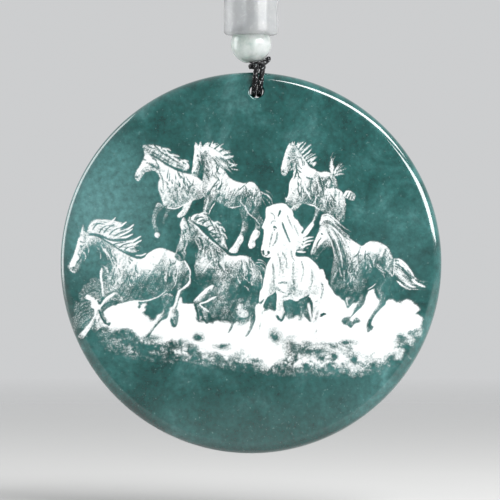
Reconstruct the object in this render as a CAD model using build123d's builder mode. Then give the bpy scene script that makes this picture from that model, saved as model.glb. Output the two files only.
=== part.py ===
from build123d import *
import math
import os

os.makedirs("parts", exist_ok=True)

# Round engraved jade pendant on a braided cord, with a tube bead nested between two round beads.
# Millimetres. +Z is up and the engraved face looks along -Y. The origin is the bearing point at
# the inside of the hanging loop's crown, where a hook or a finger holds the cord up.

# Driving dimensions: the disc
disc_radius = 28.0
disc_thickness = 5.0
rim_round = 1.5
hole_radius = 1.0
hole_mouth = 0.2
hole_x = 0.8
hole_below_rim = 2.8

# Driving dimensions: the cord
cord_radius = 0.45
strand_spacing = 0.91
soft_gap = 0.1
bail_foot_x = 1.28
bail_end_y = 1.42
bail_above_rim = 0.95
bail_above_hole_centre = 0.1
rim_bend = 1.3
hole_bend = 1.05
loop_height = 16.0
loop_half_width = 3.2
loop_neck = 1.8
loop_shoulder = 8.0
loop_neck_bend = 5.0
loop_shoulder_bend = 9.0
loop_crown_bend = 2.85

# Driving dimensions: the beads
round_bead_radius = 3.0
round_bore_radius = 1.1
bore_edge_round = 0.1
lower_bead_tilt = 7.0
lower_bead_height = 32.3
tube_radius = 4.0
tube_length = 15.0
tube_bore_radius = 1.0
tube_corner = 0.6
tube_lip = 0.15
seat_clearance = 0.05
bead_centre_outside_tube = 1.2
bead_slack = 3.0

# Driving dimensions: the knots
bail_knot_radius = 1.35
bail_knot_half_height = 0.47
bail_knot_round = 0.4
bail_knot_above_rim = 0.9
bail_knot_x = 0.9
knot_turn_radius = 0.42
knot_turn_end_radius = 0.5
knot_turn_start = 10.0
knot_turn_end = 55.0
knot_turn_gap = 0.12
top_knot_radius = 1.5
top_knot_gap = 0.05

# Heights above the disc's centre
hole_height = disc_radius - hole_below_rim
bail_knot_height = disc_radius + bail_knot_above_rim
core_foot_height = bail_knot_height + bail_knot_half_height + soft_gap / 2
tube_middle_height = lower_bead_height + bead_centre_outside_tube + tube_length / 2
upper_bead_height = lower_bead_height + 2 * bead_centre_outside_tube + tube_length
top_knot_height = upper_bead_height + round_bead_radius + bead_slack + top_knot_radius
loop_foot_height = top_knot_height + top_knot_radius + top_knot_gap
disc_z = cord_radius - loop_foot_height - loop_height


def level(height):
    """The model's Z at a height above the disc's centre."""
    return disc_z + height


def save(piece, name):
    """Labels a finished piece and writes its STEP file."""
    piece.label = name
    export_step(piece, f"parts/{name}.step")


def save_strand(path, radii, name):
    """Makes, checks and writes a plain round cord along a path."""
    route = path.wires()[0]
    with BuildPart() as strand:
        with BuildSketch(Plane(route @ 0, z_dir=route % 0)):
            Circle(cord_radius)
        sweep(path=route)
    expected = math.pi * cord_radius**2 * route.length
    print(f"{name}: {route.length:.2f} mm long, radii {radii}")
    print(f"{name}: volume {strand.part.volume:.3f}, section times length {expected:.3f}")
    save(strand.part, name)


# The engraved disc: a thick round plate with a softened rim, hung by one hole near its top
with BuildPart() as jade_disc:
    with BuildSketch(Plane.XZ.offset(-disc_thickness / 2)):
        with Locations((0, disc_z)):
            Circle(disc_radius)
    extrude(amount=disc_thickness)
    fillet(jade_disc.edges().filter_by(GeomType.CIRCLE), radius=rim_round)
    with Locations(Plane.XZ):
        with Locations((hole_x, level(hole_height))):
            Hole(radius=hole_radius)
    chamfer(jade_disc.edges().filter_by(GeomType.CIRCLE).sort_by(SortBy.RADIUS)[:2], length=hole_mouth)
save(jade_disc.part, "jade_disc")

# Bail strands: two turns of the cord, down the front face, through the hole and up the back
strand_y = disc_thickness / 2 + cord_radius + soft_gap
over_rim_z = level(disc_radius + bail_above_rim)
in_hole_z = level(hole_height + bail_above_hole_centre)
bail_radii = [rim_bend, hole_bend, hole_bend, rim_bend]
for side, name in ((-1, "bail_strand_left"), (1, "bail_strand_right")):
    foot_x = bail_foot_x + side * strand_spacing / 2
    turn_x = hole_x + side * strand_spacing / 2
    with BuildLine() as bail_path:
        FilletPolyline(
            (foot_x, -bail_end_y, over_rim_z),
            (foot_x, -strand_y, over_rim_z),
            (turn_x, -strand_y, in_hole_z),
            (turn_x, strand_y, in_hole_z),
            (foot_x, strand_y, over_rim_z),
            (foot_x, bail_end_y, over_rim_z),
            radius=bail_radii,
        )
    save_strand(bail_path, bail_radii, name)

# Bail knot: a flat button of tied cord, with one turn standing up beside the lower bead
turn_path_radius = round_bead_radius + knot_turn_gap + knot_turn_end_radius
with BuildPart() as bail_knot:
    with Locations((bail_knot_x, 0, level(bail_knot_height))):
        Cylinder(bail_knot_radius, 2 * bail_knot_half_height)
    fillet(bail_knot.edges().filter_by(GeomType.CIRCLE), radius=bail_knot_round)
    with BuildLine(Plane.XZ) as turn_path:
        CenterArc((0, level(lower_bead_height)), turn_path_radius, knot_turn_start - 90,
                  knot_turn_end - knot_turn_start)
    turn_route = turn_path.wires()[0]
    with BuildSketch(Plane(turn_route @ 0, z_dir=turn_route % 0)):
        Circle(knot_turn_radius)
    sweep(path=turn_route)
    with Locations(turn_route @ 1):
        Sphere(knot_turn_end_radius)
save(bail_knot.part, "bail_knot")


def drilled_bead(centre_height, tilt):
    """A round bead whose bore leans by a tilt in degrees about Y."""
    bore_axis = Plane(origin=(0, 0, level(centre_height)), z_dir=(-math.sin(math.radians(tilt)), 0,
                                                                 math.cos(math.radians(tilt))))
    with BuildPart(bore_axis) as bead:
        Sphere(round_bead_radius)
        Hole(radius=round_bore_radius)
        fillet(bead.edges().filter_by(GeomType.CIRCLE), radius=bore_edge_round)
    return bead.part


# Round beads: the lower one sits askew on the knot, the upper one hangs straight
save(drilled_bead(lower_bead_height, lower_bead_tilt), "lower_round_bead")
save(drilled_bead(upper_bead_height, 0), "upper_round_bead")

# Tube bead: a drilled cylinder with a round seat in each end for its neighbours
with BuildPart(Plane.XY.offset(level(tube_middle_height))) as tube_bead:
    Cylinder(tube_radius, tube_length)
    fillet(tube_bead.edges().filter_by(GeomType.CIRCLE), radius=tube_corner)
    Hole(radius=tube_bore_radius)
    for end in (-1, 1):
        with Locations((0, 0, end * (tube_length / 2 + bead_centre_outside_tube))):
            Sphere(round_bead_radius + seat_clearance, mode=Mode.SUBTRACT)
    lips = tube_bead.faces().filter_by(GeomType.PLANE).edges().group_by(SortBy.RADIUS)[0]
    fillet(lips, radius=tube_lip)
save(tube_bead.part, "tube_bead")

# Core strands: the cord's two straight runs up through the beads, one in front of the other
core_length = top_knot_height - top_knot_radius - top_knot_gap - core_foot_height
for side, name in ((-1, "core_strand_front"), (1, "core_strand_back")):
    with BuildPart() as core_strand:
        with BuildSketch(Plane.XY.offset(level(core_foot_height))):
            with Locations((0, side * strand_spacing / 2)):
                Circle(cord_radius)
        extrude(amount=core_length)
    print(f"{name}: {core_length:.2f} mm long, straight")
    save(core_strand.part, name)

# Top knot: a round stopper knot, whose centre is where the cord flexes
with BuildPart() as top_knot:
    with Locations((0, 0, level(top_knot_height))):
        Sphere(top_knot_radius)
save(top_knot.part, "top_knot")

# Hanging loop: one strand that leaves the top knot, rounds a hook and comes back
loop_foot_x = strand_spacing / 2
loop_foot_z = level(loop_foot_height)
loop_radii = [loop_neck_bend, loop_shoulder_bend, loop_crown_bend, loop_crown_bend, loop_shoulder_bend,
              loop_neck_bend]
with BuildLine() as loop_path:
    FilletPolyline(
        (-loop_foot_x, 0, loop_foot_z),
        (-loop_foot_x, 0, loop_foot_z + loop_neck),
        (-loop_half_width, 0, loop_foot_z + loop_shoulder),
        (-loop_half_width, 0, loop_foot_z + loop_height),
        (loop_half_width, 0, loop_foot_z + loop_height),
        (loop_half_width, 0, loop_foot_z + loop_shoulder),
        (loop_foot_x, 0, loop_foot_z + loop_neck),
        (loop_foot_x, 0, loop_foot_z),
        radius=loop_radii,
    )
save_strand(loop_path, loop_radii, "hanging_loop")
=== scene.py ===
"""Looks for the engraved jade disc pendant: carved disc, jade beads and braided black cord."""

import math

import bpy
import numpy as np
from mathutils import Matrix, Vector


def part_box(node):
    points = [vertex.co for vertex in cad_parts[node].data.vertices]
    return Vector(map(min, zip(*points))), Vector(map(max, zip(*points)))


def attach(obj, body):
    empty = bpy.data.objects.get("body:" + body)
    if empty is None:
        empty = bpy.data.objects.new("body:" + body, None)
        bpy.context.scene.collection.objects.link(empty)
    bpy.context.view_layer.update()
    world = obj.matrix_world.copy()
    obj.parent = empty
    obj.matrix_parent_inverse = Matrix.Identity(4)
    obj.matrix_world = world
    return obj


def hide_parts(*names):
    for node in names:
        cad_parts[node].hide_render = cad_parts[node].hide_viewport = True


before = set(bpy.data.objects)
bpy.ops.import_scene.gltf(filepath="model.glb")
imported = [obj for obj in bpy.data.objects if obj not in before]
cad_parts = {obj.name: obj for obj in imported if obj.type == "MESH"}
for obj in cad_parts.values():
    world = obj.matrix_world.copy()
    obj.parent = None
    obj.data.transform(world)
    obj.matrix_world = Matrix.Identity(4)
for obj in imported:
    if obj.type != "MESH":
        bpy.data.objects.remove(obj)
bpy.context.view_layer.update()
MM = 0.001

# Sizes that the record and the CAD model fix, in metres.
DISC_LOW, DISC_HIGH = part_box("jade_disc")
DISC_X = (DISC_LOW.x + DISC_HIGH.x) / 2
DISC_Z = (DISC_LOW.z + DISC_HIGH.z) / 2
DISC_RADIUS = (DISC_HIGH.x - DISC_LOW.x) / 2
DISC_FRONT = DISC_LOW.y
DISC_BACK = DISC_HIGH.y
HOLE_X = 0.0008
HOLE_Z = -0.0491
HOLE_RADIUS = 0.0010
CORD_RADIUS = 0.00045


# ---------------------------------------------------------------- the engraving, drawn in mm

# The drawing is a square grid of tones over the disc's front: x to the right, z up, in
# millimetres from the disc's centre. 0 is bare jade and 1 is frosted white.
CELL = 0.07
HALF = 28.35
GRID = int(2 * HALF / CELL) + 1
AXIS = np.linspace(-HALF, HALF, GRID)
GRAIN = 0.20
# The drawn light comes from above and a little from the left.
LIGHT_FROM_ABOVE = 0.94
LIGHT_FROM_LEFT = 0.34
# Points along a lock of hair, and how many of them its solid part reaches.
HAIR_POINTS = 15
HAIR_SOLID = 12
frost = np.zeros((GRID, GRID))
rng = np.random.default_rng(8)


def blurred(field, cells):
    """The field averaged three times over a square of that many cells."""
    for _ in range(3):
        for axis in (0, 1):
            total = np.zeros_like(field)
            for shift in range(-cells, cells + 1):
                total += np.roll(field, shift, axis)
            field = total / (2 * cells + 1)
    return field


def evenly_spread(field):
    """The field's values replaced by their rank, from 0 to 1."""
    order = np.argsort(field, axis=None)
    ranks = np.empty(field.size)
    ranks[order] = np.linspace(0, 1, field.size)
    return ranks.reshape(field.shape)


def noise(cells):
    """Even noise from 0 to 1 whose lumps are about that many cells across."""
    return evenly_spread(blurred(rng.normal(size=(GRID, GRID)), cells))


def drawn_out_noise(reach, step):
    """Even noise from 0 to 1 drawn out into streaks, along a step of so many rows and columns."""
    field = blurred(rng.normal(size=(GRID, GRID)), 1)
    total = np.zeros_like(field)
    for k in range(-reach, reach + 1):
        total += np.roll(field, (step[0] * k, step[1] * k), (0, 1))
    return evenly_spread(total)


FINE_GRAIN = noise(1)
LUMPS = noise(6)
WISPS = noise(3)
STREAKS = drawn_out_noise(7, (2, 1))
DRIFTS = drawn_out_noise(4, (0, 1))


def smooth(points, steps=5, closed=False):
    """A Catmull-Rom curve through the points."""
    p = np.asarray(points, float)
    if closed:
        p = np.vstack([p[-1], p, p[0], p[1]])
    else:
        p = np.vstack([2 * p[0] - p[1], p, 2 * p[-1] - p[-2]])
    t = np.linspace(0, 1, steps, endpoint=False)[:, None]
    spans = []
    for k in range(len(p) - 3):
        a, b, c, d = p[k : k + 4]
        cubic = (3 * b - a - 3 * c + d) * t**3
        square = (2 * a - 5 * b + 4 * c - d) * t**2
        spans.append(0.5 * (2 * b + (c - a) * t + square + cubic))
    spans.append(p[-2][None])
    return np.vstack(spans)


def run_along(path):
    """Distance along the path at each of its points."""
    return np.concatenate([[0], np.cumsum(np.linalg.norm(np.diff(path, axis=0), axis=1))])


def resampled(path, count):
    """The path as that many points at even distances, and those distances."""
    run = run_along(path)
    at = np.linspace(0, run[-1], count)
    return np.column_stack([np.interp(at, run, line) for line in path.T]), at


def window(points, margin):
    """The grid cells around some points, and their x and z."""
    low = np.clip(((points.min(0) - margin + HALF) / CELL).astype(int), 0, GRID - 2)
    high = np.clip(((points.max(0) + margin + HALF) / CELL).astype(int) + 2, 2, GRID)
    cells = (slice(low[1], high[1]), slice(low[0], high[0]))
    x, z = np.meshgrid(AXIS[cells[1]], AXIS[cells[0]])
    return cells, x, z


def nearest(path, x, z):
    """Distance from each cell to the path, and how far along it that is, from 0 to 1."""
    best = np.full(x.shape, 1e9)
    along = np.zeros(x.shape)
    last = len(path) - 1
    for k in range(last):
        a, step = path[k], path[k + 1] - path[k]
        size = max(step @ step, 1e-12)
        t = np.clip(((x - a[0]) * step[0] + (z - a[1]) * step[1]) / size, 0, 1)
        d = (x - a[0] - t * step[0]) ** 2 + (z - a[1] - t * step[1]) ** 2
        closer = d < best
        best = np.where(closer, d, best)
        along = np.where(closer, (k + t) / last, along)
    return np.sqrt(best), along


def depth_inside(outline, x, z):
    """Distance to the outline, above 0 inside it and below 0 outside."""
    inside = np.zeros(x.shape, bool)
    for (ax, az), (bx, bz) in zip(outline, np.roll(outline, -1, 0)):
        if az == bz:
            continue
        crosses = (az > z) != (bz > z)
        inside ^= crosses & (x < (bx - ax) * (z - az) / (bz - az) + ax)
    return np.where(inside, 1, -1) * nearest(np.vstack([outline, outline[:1]]), x, z)[0]


def toned(tone, cells):
    """The tone with a little grain: 0 stays bare, 1 is frosted all over."""
    return np.clip(tone + GRAIN * (FINE_GRAIN[cells] - 0.5), 0, 1)


def lay(cells, cover, value):
    """Lays a value over the drawing where cover is 1, hiding what is under it."""
    frost[cells] = frost[cells] * (1 - cover) + value * cover


def shape(points, roundness, middle, contrast, glows=(), texture=0.36):
    """A solid form lit from above. Inside, its tone is middle; within roundness of its edge it
    is brighter where the edge faces up and darker where it faces down. Each glow is a soft
    spot: its centre, how wide and tall it is, and how much lighter.
    """
    outline = smooth(points, 5, closed=True)
    cells, x, z = window(outline, 0.3)
    depth = depth_inside(outline, x, z)
    gz, gx = np.gradient(depth, CELL)
    slope = np.clip(1 - depth / roundness, 0, 1)
    facing_up = -slope * (LIGHT_FROM_ABOVE * gz - LIGHT_FROM_LEFT * gx)
    light = 1.15 * np.maximum(facing_up, 0) ** 1.2 + 0.3 * np.minimum(facing_up, 0)
    tone = middle + contrast * light
    tone = tone + texture * (0.5 * WISPS[cells] + 0.8 * STREAKS[cells] - 0.65)
    for (cx, cz), wide, tall, amount in glows:
        tone = tone + amount * np.exp(-(((x - cx) / wide) ** 2) - ((z - cz) / tall) ** 2)
    lay(cells, np.clip(depth / CELL / 1.4 + 0.6, 0, 1), toned(tone, cells))


def stroke(path, width, value, taper, strength=1.0):
    """One cut along a path, thinning towards its end. Its value is 1 for white, 0 for bare."""
    cells, x, z = window(path, width)
    away, along = nearest(path, x, z)
    half = width / 2 * np.minimum(1, 0.45 + 5 * along) * (1 - taper * along**2)
    lay(cells, np.clip((half - away) / CELL + 0.5, 0, 1) * strength, value)


def lit(width, *lines):
    """Frosted lines, all the same width."""
    for points in lines:
        stroke(smooth(points), width, 1.0, 0.5)


def ink(width, *lines):
    """Lines of bare, dark jade."""
    for points in lines:
        stroke(smooth(points), width, 0.0, 0.5)


def pencil(width, *lines):
    """Faint grey lines on a frosted area, somewhat wider and softer than ink."""
    for points in lines:
        stroke(smooth(points), width * 1.6, 0.0, 0.6, 0.42)


def creases(middle, reach, lean, count, seed):
    """Short wavy folds scattered over part of a body, dark and light by turns."""
    dice = np.random.default_rng(seed)
    for k in range(count):
        bearing, out = dice.uniform(0, 2 * math.pi), math.sqrt(dice.uniform(0, 1))
        place = np.array(middle) + out * np.array(reach) * (math.cos(bearing), math.sin(bearing))
        turn = math.radians(lean + dice.normal(0, 20))
        half = np.array([math.cos(turn), math.sin(turn)]) * dice.uniform(0.3, 0.95)
        bow = np.array([-half[1], half[0]]) * dice.normal(0, 0.25)
        path = smooth([place - half, place + bow, place + half])
        stroke(path, 0.15 * dice.uniform(0.7, 1.3), float(k % 2), 0.7, 0.85)


def even(points, count):
    """The smooth curve through the points as that many points at even distances."""
    return resampled(smooth(points, 8), count)[0]


def hair(upper, lower, count, width, fill, seed):
    """A lock of mane or tail between two edges, as many strokes with ragged tips."""
    dice = np.random.default_rng(seed)
    top, low = even(upper, HAIR_POINTS), even(lower, HAIR_POINTS)
    along = np.linspace(0, 1, HAIR_POINTS)
    outline = np.vstack([top[:HAIR_SOLID], low[HAIR_SOLID - 1 :: -1]])
    cells, x, z = window(outline, 0.2)
    cover = np.clip(depth_inside(outline, x, z) / 0.25, 0, 1)
    lay(cells, cover, toned(np.full(x.shape, fill), cells))
    for value, thick, shortest in ((1.0, 0.8, 8), (0.0, 0.5, 3)):
        for k in range(count):
            t = (k + dice.uniform(0, 1)) / count
            sway = dice.normal(0, 0.1) * np.sin(np.linspace(0, math.pi, HAIR_POINTS))
            flare = dice.normal(0, 0.3) * along**3
            path = top * (1 - t) + low * t + sway[:, None] + flare[:, None] * (0.4, 1.0)
            last = dice.integers(9, HAIR_POINTS + 1)
            first = max(0, last - shortest - dice.integers(0, 6))
            stroke(path[first:last], width * thick * dice.uniform(0.7, 1.2), value, 0.8, 0.9)


def fringe(roots, tips, count, width, seed, scatter=0.12):
    """Short hairs from one line to another, white with dark ones between."""
    dice = np.random.default_rng(seed)
    start, end = even(roots, count), even(tips, count)
    for k in range(count):
        tip = end[k] + dice.normal(0, scatter, 2)
        bend = 0.5 * (start[k] + tip) + dice.normal(0, 0.09, 2)
        value = 0.0 if k % 3 == 1 else 1.0
        stroke(smooth([start[k], bend, tip]), width * dice.uniform(0.7, 1.1), value, 0.7, 0.9)


def cloud(points, ragged, fading, solid=1.3, edge=0.85):
    """A patch of dust with a lumpy edge. Its tone is edge along the outline and grows inwards
    up to solid, the more slowly the lower it lies, so it thins out to dots at its foot.
    """
    outline = smooth(points, 4, closed=True)
    cells, x, z = window(outline, fading + ragged)
    depth = depth_inside(outline, x, z) + ragged * (2 * LUMPS[cells] - 1)
    depth = depth + 0.5 * ragged * (2 * WISPS[cells] - 1)
    below = np.clip((-6.0 - z) / 7, 0.2, 1)
    tone = np.clip(edge + depth / (fading * below), 0, solid)
    frost[cells] = np.maximum(frost[cells], toned(tone, cells) * (tone > 0.02))


def haze(points, density):
    """Thin dust: level white wisps and dots with dark jade between them."""
    outline = smooth(points, 4, closed=True)
    cells, x, z = window(outline, 0.5)
    fade = np.clip(depth_inside(outline, x, z) / 2.6, 0, 1)
    wisps = 0.25 * DRIFTS[cells] + 0.4 * WISPS[cells] + 0.35 * LUMPS[cells]
    grit = 0.5 * (FINE_GRAIN[cells] - 0.5)
    tone = density * fade * np.clip(2.2 * wisps - 0.5 + grit, 0, 1.3)
    frost[cells] = np.maximum(frost[cells], toned(tone, cells) * (tone > 0.04))


def gap(centre, wide, tall):
    """A thin spot in the dust, where the jade shows through."""
    middle = np.asarray([centre])
    cells, x, z = window(middle, 2.4 * max(wide, tall))
    away = ((x - centre[0]) / wide) ** 2 + ((z - centre[1]) / tall) ** 2
    cover = np.exp(-away) * (0.55 + 0.9 * WISPS[cells]) + 0.35 * (LUMPS[cells] - 0.5)
    lay(cells, np.clip(cover * (away < 4), 0, 1), toned(np.full(x.shape, 0.12), cells))


def upper_left_body():
    """The upper left horse, galloping left: its legs, body, neck and head."""
    # Legs.
    shape([(-13.7, 8.8), (-14.3, 7.4), (-14.5, 6.0), (-14.1, 4.6), (-13.6, 4.8), (-14.0, 6.0),
        (-13.7, 7.2), (-12.8, 8.2)], 0.5, 0.35, 0.6)
    shape([(-14.2, 4.1), (-13.9, 4.5), (-13.5, 4.4), (-13.4, 4.1), (-13.6, 3.7), (-14.0, 3.8)],
        0.5, 1.1, 0.2)
    shape([(-12.8, 8.5), (-12.5, 7.6), (-12.8, 6.7), (-12.9, 5.7), (-12.5, 5.8), (-12.2, 6.6),
        (-11.5, 7.5), (-11.0, 8.2)], 0.5, 0.25, 0.5)
    shape([(-9.7, 8.9), (-10.1, 7.8), (-10.8, 7.0), (-10.4, 6.6), (-9.4, 7.4), (-8.6, 9.2)],
        0.6, 0.85, 0.5)
    # Body, neck and head.
    shape([(-15.9, 17.1), (-15.6, 16.5), (-15.4, 17.3), (-15.0, 16.3), (-14.4, 15.6), (-13.3, 15.0),
        (-12.3, 14.4), (-10.6, 13.4), (-8.8, 13.0), (-7.5, 12.3), (-6.6, 11.1), (-7.0, 9.7),
        (-8.6, 9.1), (-9.7, 8.6), (-11.0, 7.9), (-12.0, 8.1), (-12.8, 8.5), (-13.1, 9.7), (-13.5, 11.0),
        (-13.3, 12.2), (-13.6, 13.0), (-14.1, 13.5), (-15.0, 13.4), (-15.6, 13.2), (-16.1, 12.4),
        (-16.5, 12.0), (-16.9, 12.3), (-17.0, 12.8), (-16.7, 13.6), (-16.2, 14.4), (-15.8, 15.2),
        (-15.6, 16.0)], 1.8, 0.78, 0.4,
        glows=[((-15.8, 14.5), 0.9, 2.2, 0.15), ((-11.0, 12.2), 3.2, 1.6, 0.4),
        ((-13.9, 14.7), 2.0, 1.4, 0.25), ((-9.5, 9.8), 3.0, 1.6, -0.2),
        ((-14.2, 13.9), 1.2, 1.0, -0.35)])


def upper_left_marks():
    """The upper left horse's folds, face and bright edges."""
    creases((-11.4, 11.3), (1.9, 2.2), 108, 40, 24)
    creases((-9.0, 11.1), (1.3, 1.2), 100, 12, 25)
    creases((-14.2, 14.3), (1.0, 0.8), -50, 12, 26)
    ink(0.13, [(-13.4, 13.4), (-12.9, 11.9), (-12.9, 10.6)], [(-9.5, 11.9), (-9.1, 10.8), (-9.3, 9.9)])
    ink(0.16, [(-15.8, 15.3), (-15.6, 15.1), (-15.4, 15.1)])
    ink(0.2, [(-16.8, 12.7), (-16.6, 12.5)])
    lit(0.26, [(-13.4, 12.2), (-13.5, 11.0), (-13.1, 9.7), (-12.8, 8.6)])
    lit(0.16, [(-12.5, 8.1), (-11.0, 8.0), (-9.7, 8.6), (-7.8, 9.6)])


def upper_left_mane():
    """The upper left horse's mane, streaming back."""
    shape([(-15.9, 17.1), (-15.2, 17.3), (-14.3, 17.3), (-13.5, 17.1), (-12.3, 16.6), (-11.6, 15.8),
        (-10.9, 15.4), (-10.2, 15.2), (-9.3, 14.7), (-9.0, 14.1), (-9.5, 13.5), (-10.3, 13.8),
        (-11.5, 14.2), (-12.9, 15.0), (-14.2, 15.8), (-15.2, 16.2)], 0.8, 0.8, 0.3, texture=0.6)
    ink(0.17,
        [(-15.2, 17.2), (-14.7, 16.9), (-14.2, 16.8)], [(-14.2, 17.3), (-13.8, 16.9), (-13.3, 16.6)],
        [(-13.2, 17.0), (-12.9, 16.6), (-12.5, 16.3)], [(-12.3, 16.6), (-12.0, 16.2), (-11.6, 15.9)],
        [(-11.5, 15.9), (-11.2, 15.6), (-10.8, 15.4)], [(-10.8, 15.4), (-10.4, 15.1), (-9.9, 15.0)],
        [(-10.1, 15.2), (-9.9, 14.7), (-9.5, 14.5)])
    ink(0.16,
        [(-14.6, 16.3), (-13.8, 15.9), (-12.9, 15.3)], [(-13.8, 16.6), (-12.9, 16.1), (-12.3, 15.6)],
        [(-12.9, 15.4), (-12.2, 14.9), (-11.5, 14.6)], [(-12.5, 16.0), (-11.9, 15.5), (-11.3, 15.1)],
        [(-11.6, 15.2), (-10.9, 14.8), (-10.3, 14.5)], [(-10.9, 14.4), (-10.2, 14.1), (-9.7, 13.9)])
    lit(0.3,
        [(-13.0, 16.7), (-12.3, 16.7), (-11.8, 16.5)], [(-12.0, 15.9), (-11.2, 15.8), (-10.5, 15.6)],
        [(-10.4, 14.9), (-9.7, 15.0), (-9.2, 14.9)])
    ink(0.16, [(-15.0, 15.9), (-13.6, 15.3), (-12.4, 14.4), (-11.0, 13.7), (-9.8, 13.3)])


def second_legs():
    """The second horse, coming round to the front: its tail and legs."""
    hair([(1.3, 10.8), (2.2, 10.6), (3.1, 10.0), (3.9, 8.9)],
        [(1.4, 9.7), (1.9, 9.1), (2.3, 8.5), (2.6, 8.1)], 7, 0.14, 0.0, 21)
    shape([(-6.7, 10.0), (-6.9, 8.6), (-7.0, 7.5), (-6.7, 6.9), (-6.1, 7.0), (-5.9, 8.4), (-5.4, 9.4)],
        0.5, 0.3, 0.7)
    lit(0.2, [(-5.7, 11.0), (-6.3, 9.2), (-6.8, 7.6)])
    lit(0.16, [(-5.3, 8.8), (-5.9, 7.9), (-6.2, 7.1)])
    shape([(-0.3, 8.9), (0.0, 7.0), (0.6, 5.9), (0.6, 5.1), (0.2, 4.4), (-0.2, 3.4), (-0.4, 2.5),
        (0.0, 2.1), (0.6, 2.5), (0.6, 3.3), (1.1, 3.8), (1.5, 5.0), (1.8, 6.1), (1.2, 7.3), (1.5, 8.9)],
        0.7, 0.3, 0.6)
    shape([(0.7, 4.9), (0.2, 4.4), (-0.2, 3.4), (-0.4, 2.5), (0.0, 2.1), (0.6, 2.5), (0.6, 3.3),
        (1.1, 3.8), (1.3, 4.5)], 0.5, 1.0, 0.3)
    shape([(-2.1, 8.6), (-1.5, 7.1), (-1.3, 5.9), (-1.6, 4.3), (-2.5, 2.7), (-3.2, 1.8), (-3.0, 1.5),
        (-2.1, 1.5), (-1.7, 2.3), (-1.1, 3.7), (-0.4, 5.2), (-0.5, 6.8), (-0.1, 7.6), (-0.6, 8.9)],
        0.6, 0.35, 0.6)
    shape([(-1.6, 4.1), (-2.5, 2.7), (-3.2, 1.8), (-3.0, 1.5), (-2.1, 1.5), (-1.7, 2.3), (-1.1, 3.5)],
        0.5, 1.05, 0.3)
    lit(0.18, [(-1.0, 8.8), (-0.7, 7.9), (-0.3, 7.2), (0.6, 6.5), (1.2, 5.7)])
    lit(0.2, [(-3.5, 8.3), (-2.6, 8.1), (-1.5, 8.4)])


def second_body():
    """The second horse's body, neck, head and face."""
    # Body, neck and head.
    shape([(-8.1, 17.7), (-7.7, 17.2), (-7.4, 17.8), (-7.1, 17.1), (-6.2, 16.4), (-4.8, 14.8),
        (-4.0, 13.9), (-3.4, 12.8), (-2.5, 12.1), (-1.0, 11.7), (0.1, 11.9), (1.0, 11.1), (1.5, 10.1),
        (1.5, 9.1), (0.9, 8.4), (-0.1, 8.2), (-1.2, 8.5), (-3.1, 8.2), (-4.7, 8.8), (-5.9, 9.3),
        (-6.8, 9.7), (-7.3, 10.6), (-7.2, 11.6), (-7.0, 12.9), (-7.0, 13.9), (-7.3, 13.3), (-7.7, 12.8),
        (-8.3, 12.7), (-8.7, 13.1), (-8.6, 13.9), (-8.5, 14.9), (-8.3, 16.4), (-8.3, 17.2)],
        1.8, 0.62, 0.45,
        glows=[((-8.2, 15.4), 0.7, 2.4, 0.3), ((-7.6, 14.6), 0.7, 1.6, -0.3),
        ((-5.4, 13.3), 1.6, 2.6, 0.35), ((-2.2, 11.0), 3.6, 1.4, 0.35), ((-6.6, 13.3), 0.9, 2.4, -0.35),
        ((-0.4, 9.4), 2.6, 1.6, -0.25), ((-4.3, 9.7), 3.0, 1.2, -0.2)])
    # Face and chest.
    ink(0.24, [(-7.9, 15.8), (-7.7, 15.6)], [(-8.4, 13.3), (-8.3, 13.1)])
    ink(0.16, [(-7.7, 15.1), (-7.4, 14.2), (-7.6, 13.3)])
    lit(0.2, [(-7.2, 11.6), (-7.3, 10.6), (-6.8, 9.8)])


def second_mane():
    """The second horse's mane and folds."""
    # Mane.
    hair([(-7.0, 17.1), (-6.3, 17.7), (-5.2, 17.3), (-4.1, 16.7), (-3.3, 15.8), (-2.9, 14.8),
        (-2.4, 13.8)],
        [(-6.7, 16.6), (-5.9, 15.9), (-5.1, 15.0), (-4.4, 14.2), (-3.7, 13.6), (-3.0, 13.2),
        (-2.1, 12.9)], 20, 0.22, 0.8, 22)
    fringe([(-6.4, 17.2), (-5.2, 16.6), (-4.1, 15.9), (-3.3, 14.9), (-2.8, 13.6)],
        [(-5.6, 17.9), (-4.3, 17.4), (-3.0, 16.4), (-2.3, 14.9), (-1.8, 13.2)], 20, 0.24, 23, 0.2)
    # Folds.
    creases((-5.6, 13.2), (1.0, 2.1), 112, 20, 28)
    creases((-4.6, 10.8), (1.4, 1.2), 65, 16, 29)
    creases((-1.6, 10.2), (2.0, 1.2), 60, 18, 30)
    creases((0.3, 9.9), (0.7, 1.3), 95, 10, 33)
    ink(0.13,
        [(-4.8, 12.2), (-5.7, 11.0), (-6.3, 9.9)], [(-0.8, 11.3), (-0.6, 9.9), (-0.9, 8.7)],
        [(-7.4, 16.3), (-7.2, 15.2), (-7.1, 14.2)])
    lit(0.16, [(-6.5, 15.3), (-5.9, 13.9), (-5.9, 12.7)], [(-5.2, 12.3), (-6.0, 11.1), (-6.6, 10.2)])


def far_right_horse():
    """Only its croup and raised tail show, behind the third horse."""
    # Tail.
    hair([(11.9, 13.0), (11.4, 14.0), (11.4, 15.0), (11.9, 16.2)],
        [(12.1, 13.2), (12.2, 14.1), (12.2, 15.0), (12.6, 15.9)], 7, 0.2, 0.6, 31)
    hair([(12.1, 13.3), (12.6, 14.1), (13.1, 14.8), (13.7, 15.3)],
        [(12.1, 12.8), (12.8, 12.8), (13.4, 12.7), (14.0, 12.6)], 10, 0.2, 0.3, 32)
    # Croup.
    shape([(9.2, 13.6), (10.1, 13.3), (10.9, 13.4), (11.8, 13.1), (12.5, 12.2), (12.8, 10.7),
        (11.6, 10.4), (10.4, 11.4), (9.5, 12.5)], 1.4, 0.5, 0.7)


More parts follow.
